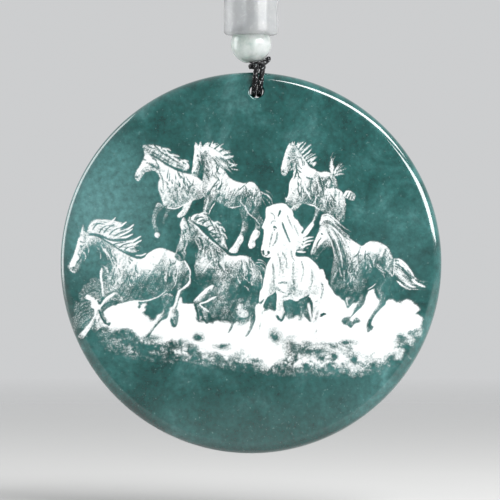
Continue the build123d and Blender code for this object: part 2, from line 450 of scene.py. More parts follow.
def third_horse():
    """Comes forward at the upper right."""
    # Legs, and the piece that shows beyond the croup.
    shape([(13.6, 10.1), (14.0, 10.6), (14.7, 10.5), (15.3, 9.9), (15.1, 9.2), (14.4, 9.3),
        (13.8, 9.6)], 0.6, 0.8, 0.3)
    ink(0.14, [(13.9, 9.7), (14.3, 10.4)], [(14.3, 9.4), (14.7, 10.3)], [(14.7, 9.4), (15.0, 10.0)])
    shape([(11.6, 8.5), (10.7, 7.5), (11.1, 6.6), (12.0, 5.9), (13.6, 6.0), (13.8, 7.3), (13.8, 8.8)],
        1.0, 0.5, 0.5)
    ink(0.26, [(12.4, 8.1), (12.2, 7.2), (12.5, 6.2)])
    shape([(9.5, 8.5), (9.4, 7.3), (8.9, 6.0), (7.6, 4.3), (8.0, 3.9), (8.6, 4.6), (9.3, 5.6),
        (9.8, 6.9), (10.6, 8.1)], 0.5, 0.35, 0.7)
    shape([(8.9, 6.0), (7.6, 4.3), (8.0, 3.9), (8.6, 4.6), (9.2, 5.5)], 0.5, 1.1, 0.3)
    shape([(4.9, 9.5), (5.2, 8.6), (5.9, 7.9), (6.3, 8.3), (6.0, 9.4)], 0.5, 0.3, 0.6)
    shape([(7.0, 9.5), (6.5, 8.8), (5.9, 7.9), (6.5, 7.7), (7.3, 8.5), (8.1, 9.4)], 0.5, 0.8, 0.5)
    # Body, neck and head.
    shape([(6.0, 17.6), (6.5, 17.2), (7.2, 16.2), (8.0, 15.0), (8.6, 14.1), (9.5, 13.6), (10.3, 12.5),
        (11.1, 11.0), (12.6, 10.9), (13.5, 10.2), (13.8, 9.1), (13.7, 8.1), (12.5, 7.3), (11.3, 7.2),
        (10.4, 7.5), (9.7, 8.1), (8.3, 8.6), (6.9, 8.7), (5.9, 8.4), (5.1, 8.9), (5.6, 10.3),
        (5.7, 11.7), (6.1, 12.5), (6.2, 13.6), (5.5, 13.4), (5.1, 12.8), (4.5, 13.0), (4.4, 13.8),
        (4.6, 14.7), (4.9, 15.8), (5.3, 17.0)], 1.6, 0.62, 0.4,
        glows=[((5.1, 14.7), 0.7, 2.0, 0.3), ((7.8, 13.3), 1.4, 3.0, 0.45),
        ((6.6, 10.7), 1.2, 2.2, 0.3), ((12.2, 9.8), 2.4, 1.4, 0.4), ((8.8, 10.4), 1.6, 2.4, -0.3),
        ((6.2, 15.1), 1.2, 1.6, -0.3), ((10.4, 8.6), 2.0, 1.4, -0.3)])
    # Folds, face and bright edges.
    creases((7.4, 12.5), (1.1, 2.4), 108, 26, 34)
    creases((8.9, 10.4), (1.5, 1.5), 100, 18, 35)
    creases((12.0, 9.6), (1.4, 1.5), 95, 20, 36)
    creases((11.2, 12.0), (0.8, 0.7), 75, 10, 37)
    ink(0.16,
        [(6.6, 14.4), (6.7, 13.4), (6.3, 12.3)], [(9.9, 12.7), (10.3, 11.6), (10.6, 10.4), (10.8, 9.4)],
        [(11.4, 12.7), (11.8, 11.9), (11.9, 11.1)])
    lit(0.15, [(9.5, 12.6), (9.9, 11.5), (10.1, 10.5)], [(12.7, 10.3), (12.8, 9.3), (12.6, 8.4)])
    ink(0.24, [(5.5, 15.5), (5.7, 15.3)])
    ink(0.26, [(4.6, 13.5), (4.8, 13.3)])
    ink(0.18, [(5.8, 14.8), (6.0, 14.1), (5.6, 13.7)])
    lit(0.22, [(6.1, 12.5), (5.7, 11.6), (5.6, 10.3), (5.1, 9.0)])
    lit(0.2, [(8.3, 8.6), (9.2, 8.4), (10.1, 7.8)])
    # Mane.
    fringe([(6.5, 17.1), (7.0, 16.7), (7.6, 15.7), (8.3, 14.8), (9.3, 14.1)],
        [(7.2, 17.7), (8.4, 17.5), (9.2, 16.5), (9.6, 15.3), (9.8, 14.2)], 26, 0.24, 42, 0.2)
    fringe([(5.6, 17.1), (6.1, 17.4), (6.9, 17.0)], [(5.6, 17.5), (6.2, 17.9), (7.2, 17.6)], 7, 0.2, 43)


def dust_cloud():
    """The kicked-up dust that the lower row runs through, solid at the top and thinning to dots below."""
    # The solid part.
    cloud([(-22.4, -7.2), (-21.6, -7.0), (-20.4, -5.9), (-18.2, -5.5), (-16.7, -5.7), (-15.4, -7.0),
        (-13.8, -8.0), (-11.6, -6.7), (-10.3, -5.8), (-8.4, -5.8), (-7.5, -7.8), (-5.3, -8.3),
        (-2.8, -8.5), (-0.3, -8.4), (0.8, -6.3), (2.1, -6.5), (3.7, -7.2), (6.6, -7.8), (9.8, -5.4),
        (10.8, -2.6), (11.6, -3.5), (12.8, -4.8), (13.8, -5.9), (15.7, -4.8), (17.7, -4.0),
        (18.9, -5.0), (21.3, -5.2), (22.1, -5.6), (22.9, -5.5), (23.7, -5.9), (24.1, -6.7),
        (23.9, -7.5), (24.7, -8.5), (24.3, -9.7), (23.7, -10.6), (23.2, -11.6), (21.4, -12.6),
        (20.2, -13.5), (18.3, -14.4), (16.3, -13.9), (14.8, -13.2), (11.6, -12.4), (7.5, -12.6),
        (5.2, -14.2), (2.7, -15.0), (-0.1, -14.1), (-2.7, -14.1), (-5.9, -13.8), (-8.4, -13.1),
        (-11.0, -11.7), (-13.8, -11.7), (-16.7, -11.4), (-18.6, -10.0), (-21.2, -9.8), (-22.6, -8.8)],
        0.6, 1.9, edge=0.5)
    # Thin dust below it.
    haze([(-23.2, -8.6), (-22.6, -11.6), (-20.4, -13.6), (-15.9, -14.7), (-11.4, -15.2), (-7.1, -15.5),
        (-3.6, -15.9), (-0.2, -16.4), (3.3, -16.8), (8.4, -16.9), (12.3, -16.9), (15.8, -16.8),
        (18.8, -16.5), (21.8, -15.2), (24.2, -12.4), (25.4, -9.0), (22.4, -8.6), (14.5, -10.4),
        (5.8, -10.4), (-7.1, -9.9), (-15.7, -8.9)], 0.92)
    # Close dots at the lower right.
    cloud([(7.5, -11.9), (10.0, -11.2), (14.0, -11.2), (20.0, -11.4), (22.4, -12.6), (20.3, -14.6),
        (17.2, -15.4), (13.4, -14.4), (10.0, -13.8), (7.6, -13.4)], 1.3, 1.8, solid=0.8, edge=0.45)
    # Thin spots.
    gaps = [
        ((-19.5, -10.7), 2.1, 0.6), ((-18.0, -11.7), 1.6, 0.5), ((-7.8, -11.0), 0.7, 0.5),
        ((3.4, -10.8), 0.7, 0.7), ((6.1, -12.3), 0.8, 0.9), ((8.9, -13.0), 2.0, 0.4),
        ((22.0, -11.1), 0.8, 0.7), ((-11.9, -12.3), 1.6, 0.4), ((-14.8, -11.0), 1.0, 0.4),
        ((-4.0, -12.2), 0.9, 0.35), ((13.8, -11.7), 1.0, 0.3),
    ]
    for centre, wide, tall in gaps:
        gap(centre, wide, tall)


def leader_legs():
    """The leader of the lower row, stretched out to the left: what is behind its body."""
    # Swirl of dust in front of the chest.
    cloud([(-22.0, -2.9), (-23.4, -3.2), (-24.6, -4.0), (-25.3, -5.4), (-25.8, -7.4), (-25.4, -9.0),
        (-24.4, -9.5), (-22.9, -9.4), (-22.2, -8.2), (-21.7, -5.5)], 0.6, 1.2, 0.36)
    cloud([(-22.1, -4.6), (-23.0, -4.8), (-23.8, -5.3), (-23.6, -6.2), (-23.1, -7.2), (-22.9, -8.6),
        (-22.2, -8.4), (-21.7, -6.9)], 0.5, 0.9)
    ink(0.15,
        [(-22.4, -4.2), (-23.3, -4.0), (-24.3, -4.7)], [(-23.8, -5.5), (-24.6, -5.6), (-25.3, -6.3)],
        [(-23.9, -6.5), (-24.8, -6.8), (-25.5, -7.6)], [(-23.7, -7.4), (-24.6, -7.8), (-25.3, -8.6)],
        [(-23.4, -8.2), (-24.1, -8.6), (-24.8, -9.3)], [(-23.9, -6.0), (-24.6, -6.2), (-25.2, -6.8)],
        [(-23.8, -7.0), (-24.6, -7.3), (-25.2, -7.9)])
    # Legs.
    shape([(-13.1, -4.5), (-12.9, -6.3), (-13.1, -7.5), (-13.9, -8.7), (-14.8, -9.9), (-15.5, -10.8),
        (-15.0, -10.8), (-14.3, -9.8), (-13.2, -8.5), (-12.3, -8.0), (-11.9, -6.6), (-11.4, -4.8)],
        0.7, 0.22, 0.5)
    shape([(-9.0, -2.5), (-9.7, -3.4), (-10.6, -3.9), (-11.0, -4.9), (-11.2, -5.8), (-11.6, -6.9),
        (-11.8, -8.2), (-11.6, -9.3), (-10.9, -9.2), (-10.6, -7.6), (-10.8, -6.5), (-10.5, -5.2),
        (-9.9, -4.3), (-8.9, -3.5)], 0.6, 0.45, 0.8)
    lit(0.36, [(-8.9, -2.3), (-9.2, -3.1), (-10.3, -3.8), (-10.6, -4.5), (-10.9, -5.6), (-11.3, -6.7)])
    ink(0.42, [(-11.7, -8.2), (-11.5, -8.9), (-11.1, -9.3)])
    shape([(-22.6, -6.5), (-23.0, -7.7), (-23.9, -9.1), (-25.2, -10.5), (-25.3, -10.9), (-24.8, -11.1),
        (-24.4, -10.8), (-23.7, -9.8), (-22.8, -8.2), (-22.3, -7.1)], 0.6, 0.95, 0.5)
    ink(0.16, [(-25.1, -10.6), (-24.7, -10.9)])


def leader_body():
    """The leader's body, neck, head and raised foreleg."""
    # Body, neck and head.
    shape([(-25.3, 5.4), (-25.0, 4.4), (-24.6, 5.6), (-24.2, 4.5), (-23.3, 4.1), (-22.2, 3.7),
        (-20.9, 2.9), (-19.6, 2.1), (-18.3, 1.3), (-17.5, 0.9), (-16.6, 0.6), (-15.8, 0.7),
        (-15.1, 1.4), (-14.1, 2.0), (-13.2, 2.2), (-12.2, 1.9), (-11.1, 1.4), (-10.3, 0.9), (-9.5, 0.1),
        (-9.0, -0.8), (-8.9, -1.8), (-9.1, -2.6), (-9.8, -3.4), (-10.7, -4.0), (-12.2, -4.3),
        (-13.2, -4.9), (-14.2, -5.4), (-15.8, -5.7), (-17.2, -5.5), (-18.6, -5.7), (-19.8, -5.9),
        (-20.8, -5.5), (-21.7, -4.9), (-21.8, -3.5), (-22.0, -2.1), (-21.9, -0.7), (-22.3, -0.1),
        (-22.8, 0.2), (-23.4, 0.6), (-24.2, 0.1), (-24.9, -0.6), (-25.4, -1.3), (-25.8, -1.5),
        (-26.4, -1.3), (-26.8, -0.6), (-26.5, 0.1), (-26.0, 1.0), (-25.6, 2.0), (-25.4, 3.3),
        (-25.1, 4.0)], 3.2, 0.42, 0.75,
        glows=[((-25.6, 2.1), 0.6, 2.4, 0.4), ((-24.8, 2.9), 0.5, 0.7, 0.4),
        ((-21.0, 2.1), 1.9, 1.2, -0.15), ((-19.6, 0.7), 1.1, 1.8, 0.1), ((-19.4, -2.1), 0.9, 2.4, 0.4),
        ((-14.5, 0.1), 4.6, 1.4, 0.2), ((-10.7, -1.3), 0.6, 3.0, 0.25), ((-22.3, 1.9), 1.3, 1.8, -0.45),
        ((-21.3, -0.7), 1.2, 3.2, -0.3), ((-15.8, -3.2), 4.4, 2.2, -0.12),
        ((-23.9, 1.5), 1.2, 1.4, -0.35), ((-26.2, -0.7), 0.6, 0.8, 0.4),
        ((-9.8, -2.5), 1.4, 2.2, -0.1)])
    # Raised foreleg.
    shape([(-19.9, -4.3), (-21.3, -5.3), (-22.4, -6.7), (-22.2, -7.3), (-21.8, -8.0), (-21.3, -8.9),
        (-20.8, -9.2), (-20.6, -8.7), (-21.2, -8.2), (-21.6, -7.2), (-20.8, -6.5), (-19.8, -6.0),
        (-18.6, -5.7)], 0.6, 0.45, 0.7)
    lit(0.42, [(-20.0, -4.5), (-21.3, -5.3), (-22.2, -6.7)])
    ink(0.2, [(-22.0, -6.7), (-21.1, -5.9), (-19.6, -5.6)])
    ink(0.26, [(-22.3, -7.0), (-21.9, -8.0), (-21.3, -8.9), (-20.7, -8.9)])


def leader_marks():
    """The leader's folds, face and bright edges."""
    ink(0.16, [(-25.0, 2.6), (-24.8, 2.4), (-24.5, 2.6)])
    creases((-20.2, -0.9), (1.4, 2.8), 100, 28, 54)
    creases((-17.4, -1.0), (1.4, 1.8), 85, 14, 55)
    creases((-11.8, -1.2), (1.4, 2.0), 75, 16, 56)
    creases((-21.9, 1.6), (0.6, 0.9), 120, 6, 57)
    ink(0.13, [(-25.1, 3.2), (-24.7, 3.0), (-24.3, 3.1)], [(-25.4, 1.5), (-25.1, 0.7), (-25.6, 0.1)])
    lit(0.14,
        [(-22.0, 2.6), (-21.3, 1.5), (-20.9, 0.4)], [(-19.3, 0.3), (-18.9, -1.2), (-19.1, -2.6)],
        [(-24.2, 2.9), (-23.8, 2.0), (-23.9, 1.1)], [(-24.5, 1.6), (-24.2, 0.9), (-24.5, 0.3)])
    ink(0.22, [(-26.1, -0.6), (-25.9, -0.8)])
    ink(0.16, [(-25.6, -0.1), (-25.0, 0.7), (-24.7, 1.5)])
    ink(0.14, [(-23.9, 1.5), (-23.7, 1.0), (-24.1, 0.5)])
    lit(0.22, [(-25.2, 3.7), (-25.5, 2.5), (-25.9, 1.2), (-26.6, -0.4), (-26.4, -1.1), (-25.8, -1.4)])
    lit(0.36, [(-21.9, -0.8), (-22.0, -2.1), (-21.8, -3.4), (-21.7, -4.8)])
    lit(0.16, [(-21.5, 2.2), (-20.8, 1.0), (-20.2, -0.3)])
    lit(0.2, [(-17.2, -5.5), (-15.8, -5.6), (-14.2, -5.2), (-13.2, -4.7), (-12.4, -4.0)])
    lit(0.24, [(-9.8, 0.4), (-9.3, -0.4), (-8.9, -1.3), (-9.0, -2.3)])
    lit(0.14, [(-11.0, 0.1), (-10.8, -1.3), (-11.1, -3.1), (-11.7, -4.0)])


def leader_mane():
    """The leader's mane, streaming back."""
    hair([(-24.1, 4.8), (-23.7, 5.9), (-22.9, 6.5), (-21.9, 6.5), (-20.1, 6.3), (-18.6, 5.9),
        (-17.2, 5.4)],
        [(-24.0, 4.4), (-22.9, 4.3), (-21.7, 3.9), (-20.7, 3.4), (-19.6, 3.4), (-18.6, 3.6),
        (-17.9, 3.8)], 9, 0.16, 0.92, 52)
    hair([(-21.6, 3.6), (-20.4, 3.2), (-19.2, 3.1), (-17.9, 3.3), (-16.7, 3.7), (-16.1, 3.5)],
        [(-20.7, 2.9), (-19.5, 2.1), (-18.3, 1.6), (-17.4, 1.4), (-16.6, 1.5), (-15.4, 1.6)],
        14, 0.2, 0.85, 53)
    lit(0.36,
        [(-21.4, 5.5), (-20.6, 5.9), (-19.9, 6.6)], [(-20.2, 4.9), (-19.2, 5.3), (-18.3, 6.0)],
        [(-19.3, 4.5), (-18.2, 4.9), (-17.2, 5.6)], [(-19.3, 4.0), (-18.3, 4.4), (-17.4, 5.0)],
        [(-19.2, 3.7), (-18.3, 3.8), (-17.4, 4.2)], [(-18.4, 2.9), (-17.3, 3.2), (-16.2, 3.9)],
        [(-18.2, 2.5), (-17.1, 2.8), (-16.1, 3.3)], [(-18.3, 2.1), (-17.5, 2.4), (-16.7, 2.9)])
    ink(0.15,
        [(-23.2, 4.9), (-22.8, 5.5), (-22.1, 5.9)], [(-22.3, 4.4), (-21.8, 5.1), (-21.1, 5.5)],
        [(-21.6, 4.4), (-21.0, 5.1), (-20.0, 5.7)], [(-20.8, 4.1), (-20.1, 4.8), (-19.1, 5.2)],
        [(-20.0, 3.9), (-19.3, 4.4), (-18.2, 4.8)], [(-19.2, 3.8), (-18.5, 4.1), (-17.7, 4.5)],
        [(-19.4, 2.2), (-18.6, 2.7), (-17.5, 3.0)], [(-18.6, 1.9), (-18.0, 2.3), (-17.2, 2.5)],
        [(-20.2, 2.7), (-19.5, 2.9), (-18.7, 3.0)])
    ink(0.2, [(-23.9, 4.1), (-22.7, 4.0), (-21.4, 3.3), (-20.2, 2.6), (-19.1, 1.8), (-17.6, 1.0)])
    lit(0.24, [(-15.4, 1.4), (-16.1, 1.1), (-16.9, 1.1)])


def follower_body():
    """The horse behind the leader, its head low and a foreleg raised."""
    # The dark under the belly, dust in it, and a hind leg.
    shape([(-6.6, -4.8), (-6.9, -6.0), (-6.2, -7.2), (-5.3, -8.3), (-3.4, -8.3), (-2.9, -8.9),
        (-3.4, -10.2), (-2.9, -9.8), (-2.3, -8.5), (-1.5, -8.1), (-0.6, -6.0), (-1.9, -4.8)],
        1.5, 0.3, 0.35)
    cloud([(-2.1, -6.3), (-1.5, -6.0), (-0.9, -6.7), (-0.8, -7.7), (-1.6, -7.8), (-2.1, -7.2)],
        0.6, 2.4, solid=0.8, edge=0.3)
    shape([(-1.2, -4.8), (-0.7, -5.9), (-0.5, -7.0), (-0.1, -8.1), (-0.2, -9.4), (-0.8, -10.7),
        (-0.3, -10.4), (0.6, -8.4), (0.6, -6.6), (1.0, -4.5)], 0.7, 0.25, 0.4)
    # Tail.
    hair([(0.5, 0.4), (1.3, 0.5), (2.1, 0.0), (2.3, -1.3)],
        [(1.0, -0.9), (1.3, -1.9), (1.5, -2.9), (1.6, -4.0)], 9, 0.18, 0.0, 61)
    # Body, neck and head.
    shape([(-9.9, 6.7), (-9.4, 6.1), (-9.0, 6.8), (-8.6, 6.0), (-7.4, 4.7), (-6.1, 3.4), (-4.7, 2.3),
        (-3.4, 1.2), (-2.5, 1.0), (-1.5, 1.1), (-0.4, 0.9), (0.5, 0.0), (1.0, -0.9), (1.3, -2.1),
        (1.1, -3.8), (0.7, -5.4), (-0.3, -5.6), (-1.5, -5.2), (-3.4, -5.6), (-5.3, -5.3), (-6.6, -4.3),
        (-7.5, -3.1), (-8.0, -2.3), (-8.3, -0.7), (-8.1, 0.4), (-8.3, 1.4), (-9.1, 1.0), (-9.8, 0.4),
        (-10.6, 0.3), (-11.1, 0.8), (-11.1, 1.4), (-10.8, 2.4), (-10.4, 3.5), (-10.2, 4.7),
        (-10.4, 5.7)], 2.2, 0.42, 0.5,
        glows=[((-10.2, 4.0), 0.4, 2.6, 0.45), ((-9.8, 5.7), 0.6, 0.9, 0.35),
        ((-9.2, 4.0), 0.7, 1.8, 0.05), ((-9.4, 2.2), 1.6, 1.2, -0.35), ((-7.9, 2.8), 0.8, 3.0, -0.2),
        ((-6.9, 0.1), 0.7, 1.4, 0.55), ((-1.9, 0.1), 3.0, 1.6, 0.2), ((-4.5, -2.3), 1.0, 2.6, 0.35),
        ((-6.2, -1.9), 2.2, 1.6, -0.3), ((-0.4, -3.1), 1.4, 2.8, -0.25), ((-2.8, -4.3), 2.6, 1.2, -0.2),
        ((0.4, -1.6), 0.5, 2.0, 0.3)])
    # Raised foreleg.
    shape([(-5.5, -3.3), (-6.8, -4.1), (-8.2, -5.3), (-8.4, -5.9), (-8.1, -6.7), (-7.9, -7.6),
        (-7.7, -8.6), (-7.4, -8.4), (-7.5, -7.3), (-7.1, -7.3), (-6.9, -8.2), (-6.5, -8.9),
        (-6.2, -8.6), (-6.4, -7.7), (-6.2, -7.0), (-7.3, -6.1), (-6.6, -5.6), (-5.1, -4.8)],
        0.7, 0.4, 0.7)
    lit(0.4, [(-5.6, -3.3), (-6.8, -4.1), (-8.2, -5.4)])
    lit(0.3, [(-5.1, -4.9), (-6.6, -5.7), (-7.5, -6.1), (-6.3, -7.1)])
    ink(0.3, [(-8.3, -5.9), (-8.0, -6.7), (-7.8, -7.8), (-7.7, -8.4)])
    ink(0.36, [(-7.0, -8.2), (-6.5, -8.8)])


def follower_mane():
    """The follower's face, bright edges and mane."""
    # Face and bright edges.
    ink(0.5, [(-10.7, 1.6), (-10.3, 1.2), (-10.1, 0.7)])
    ink(0.26, [(-9.8, 4.9), (-9.5, 4.5)])
    ink(0.24, [(-9.5, 6.4), (-9.1, 5.4), (-8.9, 4.4)])
    lit(0.3, [(-8.6, 6.0), (-7.4, 4.7), (-6.1, 3.4), (-4.7, 2.3), (-3.4, 1.1)])
    lit(0.22, [(-5.0, 0.7), (-6.2, -0.2), (-7.0, -1.4)])
    # Mane.
    shape([(-8.8, 6.4), (-8.6, 6.9), (-8.0, 7.2), (-7.1, 7.2), (-6.3, 6.8), (-5.7, 6.2), (-4.9, 5.7),
        (-4.3, 4.9), (-4.0, 4.0), (-3.7, 2.7), (-3.8, 2.1), (-4.5, 2.6), (-5.2, 3.3), (-5.9, 4.1),
        (-6.4, 4.8), (-7.0, 5.4), (-7.9, 5.8)], 0.8, 0.78, 0.3, texture=0.7)
    ink(0.17,
        [(-7.1, 5.7), (-6.7, 6.1), (-6.1, 6.3)], [(-6.5, 5.1), (-6.1, 5.4), (-5.6, 5.5)],
        [(-6.1, 4.6), (-5.7, 4.8), (-5.2, 4.9)], [(-5.7, 4.1), (-5.3, 4.3), (-4.8, 4.3)],
        [(-5.3, 3.6), (-4.9, 3.8), (-4.5, 3.7)], [(-4.9, 3.1), (-4.6, 3.2), (-4.2, 3.1)],
        [(-8.1, 6.4), (-7.5, 6.7), (-6.9, 6.7)], [(-6.3, 6.7), (-5.7, 5.7), (-5.1, 4.6)],
        [(-5.2, 5.5), (-4.7, 4.7), (-4.4, 3.8)], [(-7.7, 6.0), (-7.1, 6.3), (-6.6, 6.0)])
    lit(0.26,
        [(-5.4, 5.9), (-4.9, 6.0), (-4.4, 5.7)], [(-4.7, 5.3), (-4.2, 5.2), (-3.8, 4.6)],
        [(-4.4, 4.4), (-3.9, 4.2), (-3.5, 3.5)], [(-7.5, 7.1), (-6.9, 7.4), (-6.2, 7.2)],
        [(-4.3, 3.2), (-3.8, 2.7), (-3.5, 2.0)])


def follower_marks():
    """The follower's folds and the dark lines under its mane."""
    # Folds.
    creases((-6.9, 2.4), (1.0, 2.0), 112, 26, 63)
    creases((-4.6, 0.2), (1.5, 1.6), 112, 22, 64)
    creases((-0.6, -1.6), (1.2, 2.4), 98, 24, 65)
    creases((-9.9, 3.6), (0.5, 1.6), 80, 10, 66)
    ink(0.13,
        [(-7.5, 3.9), (-7.1, 2.8), (-7.2, 1.7)], [(-0.7, 0.2), (-0.3, -1.6), (-0.5, -3.2)],
        [(-10.1, 4.8), (-9.7, 3.8), (-9.8, 2.8)])
    lit(0.14,
        [(-8.2, 3.4), (-7.6, 2.2), (-7.7, 1.1)], [(-6.0, 2.5), (-5.6, 1.4), (-5.8, 0.3)],
        [(-1.2, 0.3), (-0.9, -1.2), (-1.1, -2.6)], [(0.0, -0.1), (0.3, -1.6), (0.2, -3.2)])
    # Dark lines under the mane.
    ink(0.22, [(-8.5, 5.9), (-7.6, 5.4), (-6.6, 4.4), (-5.6, 3.4), (-4.4, 2.3)])
    ink(0.3, [(-7.2, 5.4), (-6.6, 5.1), (-6.1, 4.5)])
    ink(0.2, [(-6.4, 4.5), (-5.7, 4.4), (-5.1, 4.0)])
    ink(0.18, [(-5.8, 3.8), (-5.1, 3.8), (-4.5, 3.4)])


def last_legs():
    """The last horse of the lower row, at the right: its tail and legs."""
    # Tail.
    hair([(20.9, 0.6), (21.7, 0.6), (22.5, -0.1), (23.4, -1.1), (24.2, -2.0), (25.8, -2.6)],
        [(20.9, -1.8), (21.4, -2.6), (22.1, -3.2), (23.0, -3.8), (24.0, -3.7), (25.7, -3.6)],
        22, 0.2, 0.12, 71)
    lit(0.42, [(21.6, 0.6), (22.5, -0.1), (23.3, -1.1), (23.8, -1.9)])
    lit(0.24, [(21.4, -2.6), (22.1, -3.3), (23.0, -3.7)])
    lit(0.34, [(22.6, -2.9), (23.5, -3.4), (24.1, -3.5)])
    lit(0.4, [(23.6, -2.4), (24.5, -3.1), (25.5, -3.5)])
    # Legs.
    shape([(13.8, -4.0), (13.7, -5.0), (13.9, -6.1), (14.1, -6.6), (14.5, -6.4), (15.2, -5.3),
        (15.5, -4.0)], 0.7, 0.3, 0.4)
    lit(0.2, [(14.1, -4.5), (14.0, -5.4), (14.2, -6.2)])
    shape([(15.7, -4.1), (15.8, -5.6), (15.1, -6.8), (14.7, -7.7), (13.8, -7.9), (13.3, -8.4),
        (13.5, -8.9), (14.2, -9.2), (14.7, -9.5), (15.2, -8.9), (16.0, -8.6), (15.5, -8.0),
        (15.1, -8.3), (14.8, -8.6), (14.5, -8.3), (14.8, -7.8), (15.7, -6.9), (16.6, -5.9),
        (16.8, -4.1)], 0.6, 0.22, 0.35)
    shape([(18.4, -3.5), (18.9, -5.1), (18.6, -6.2), (17.9, -7.2), (17.4, -8.0), (17.0, -9.0),
        (17.1, -10.1), (17.7, -9.8), (17.9, -9.3), (17.6, -8.9), (18.0, -7.9), (18.9, -6.8),
        (19.7, -6.0), (19.7, -5.0), (20.0, -3.4)], 0.7, 0.25, 0.4)
    ink(0.4, [(17.2, -9.0), (17.5, -9.5)])


def last_body():
    """The last horse's body, neck, head and face."""
    # Body, neck and head.
    shape([(10.5, 7.1), (11.9, 5.6), (13.3, 4.5), (14.4, 3.6), (15.5, 2.9), (16.3, 2.5), (16.9, 2.9),
        (17.6, 3.2), (18.5, 3.1), (19.3, 2.8), (20.1, 2.2), (20.6, 1.3), (20.9, 0.4), (21.0, -0.7),
        (20.8, -1.9), (20.6, -3.2), (20.0, -4.1), (19.1, -4.3), (18.3, -3.7), (17.2, -4.1),
        (15.7, -4.7), (14.2, -5.0), (13.3, -5.1), (12.2, -4.4), (11.7, -3.2), (11.7, -1.9),
        (12.0, -0.1), (12.1, 1.5), (11.6, 1.9), (10.7, 1.9), (10.1, 1.3), (9.7, 0.6), (9.3, 0.4),
        (8.8, 0.9), (8.8, 1.7), (9.3, 3.0), (9.9, 4.6), (10.2, 5.9)], 2.8, 0.36, 0.65,
        glows=[((11.0, 3.5), 1.2, 1.4, 0.55), ((14.1, 2.3), 1.8, 1.2, 0.35),
        ((18.3, 1.8), 2.4, 1.3, 0.4), ((20.2, 0.1), 0.5, 2.2, 0.35), ((15.2, -0.1), 0.8, 3.4, 0.3),
        ((15.7, -2.1), 1.0, 1.6, 0.2), ((12.9, -1.3), 1.4, 3.6, -0.35), ((17.2, -1.9), 3.0, 2.4, -0.3),
        ((19.5, -2.5), 1.4, 2.4, -0.2), ((11.0, 2.2), 1.6, 0.6, -0.25)])
    # Face and bright edges.
    lit(0.24, [(10.0, 4.5), (9.3, 2.9), (8.9, 1.6)])
    ink(0.34, [(9.0, 1.2), (9.3, 0.9), (9.7, 1.0)])
    ink(0.26, [(10.3, 4.3), (10.5, 4.2)])
    ink(0.16, [(9.6, 2.5), (10.0, 3.3), (10.3, 3.7)])
    lit(0.14, [(17.1, -3.9), (17.9, -3.4), (18.3, -3.0)])
    lit(0.16, [(21.0, 0.6), (21.0, -0.7), (20.9, -1.8)])


def last_mane():
    """The last horse's mane and folds."""
    # Mane hanging down the neck.
    hair([(11.0, 5.7), (12.4, 3.6), (13.1, 1.6), (13.3, -0.2)],
        [(12.9, 4.6), (14.0, 2.8), (14.7, 1.0), (14.9, -0.8)], 11, 0.17, 0.4, 73)
    lit(0.15,
        [(11.0, 4.6), (11.8, 2.9), (12.4, 0.7)], [(11.4, 5.2), (12.6, 3.1), (13.2, 0.9), (13.4, -0.7)],
        [(12.0, 5.3), (13.5, 3.5), (14.2, 1.4), (14.5, -0.7)], [(13.0, 4.6), (14.4, 2.7), (15.0, 0.9)])
    ink(0.13, [(11.3, 4.4), (12.2, 2.8), (12.8, 0.8)], [(12.1, 4.9), (13.1, 3.0), (13.8, 0.8)])
    # Folds.
    creases((16.6, 0.4), (2.2, 1.7), 82, 22, 75)
    creases((19.6, 0.0), (0.9, 2.0), 105, 16, 76)
    creases((14.4, -2.0), (1.4, 1.6), 95, 14, 77)
    # Mane along the crest.
    hair([(10.0, 6.0), (10.6, 7.2), (11.7, 6.9), (13.2, 5.4), (14.5, 4.4), (15.7, 3.1)],
        [(10.2, 5.1), (11.1, 5.7), (12.2, 5.1), (13.3, 4.1), (14.5, 3.3), (16.0, 2.6)],
        14, 0.2, 0.6, 72)


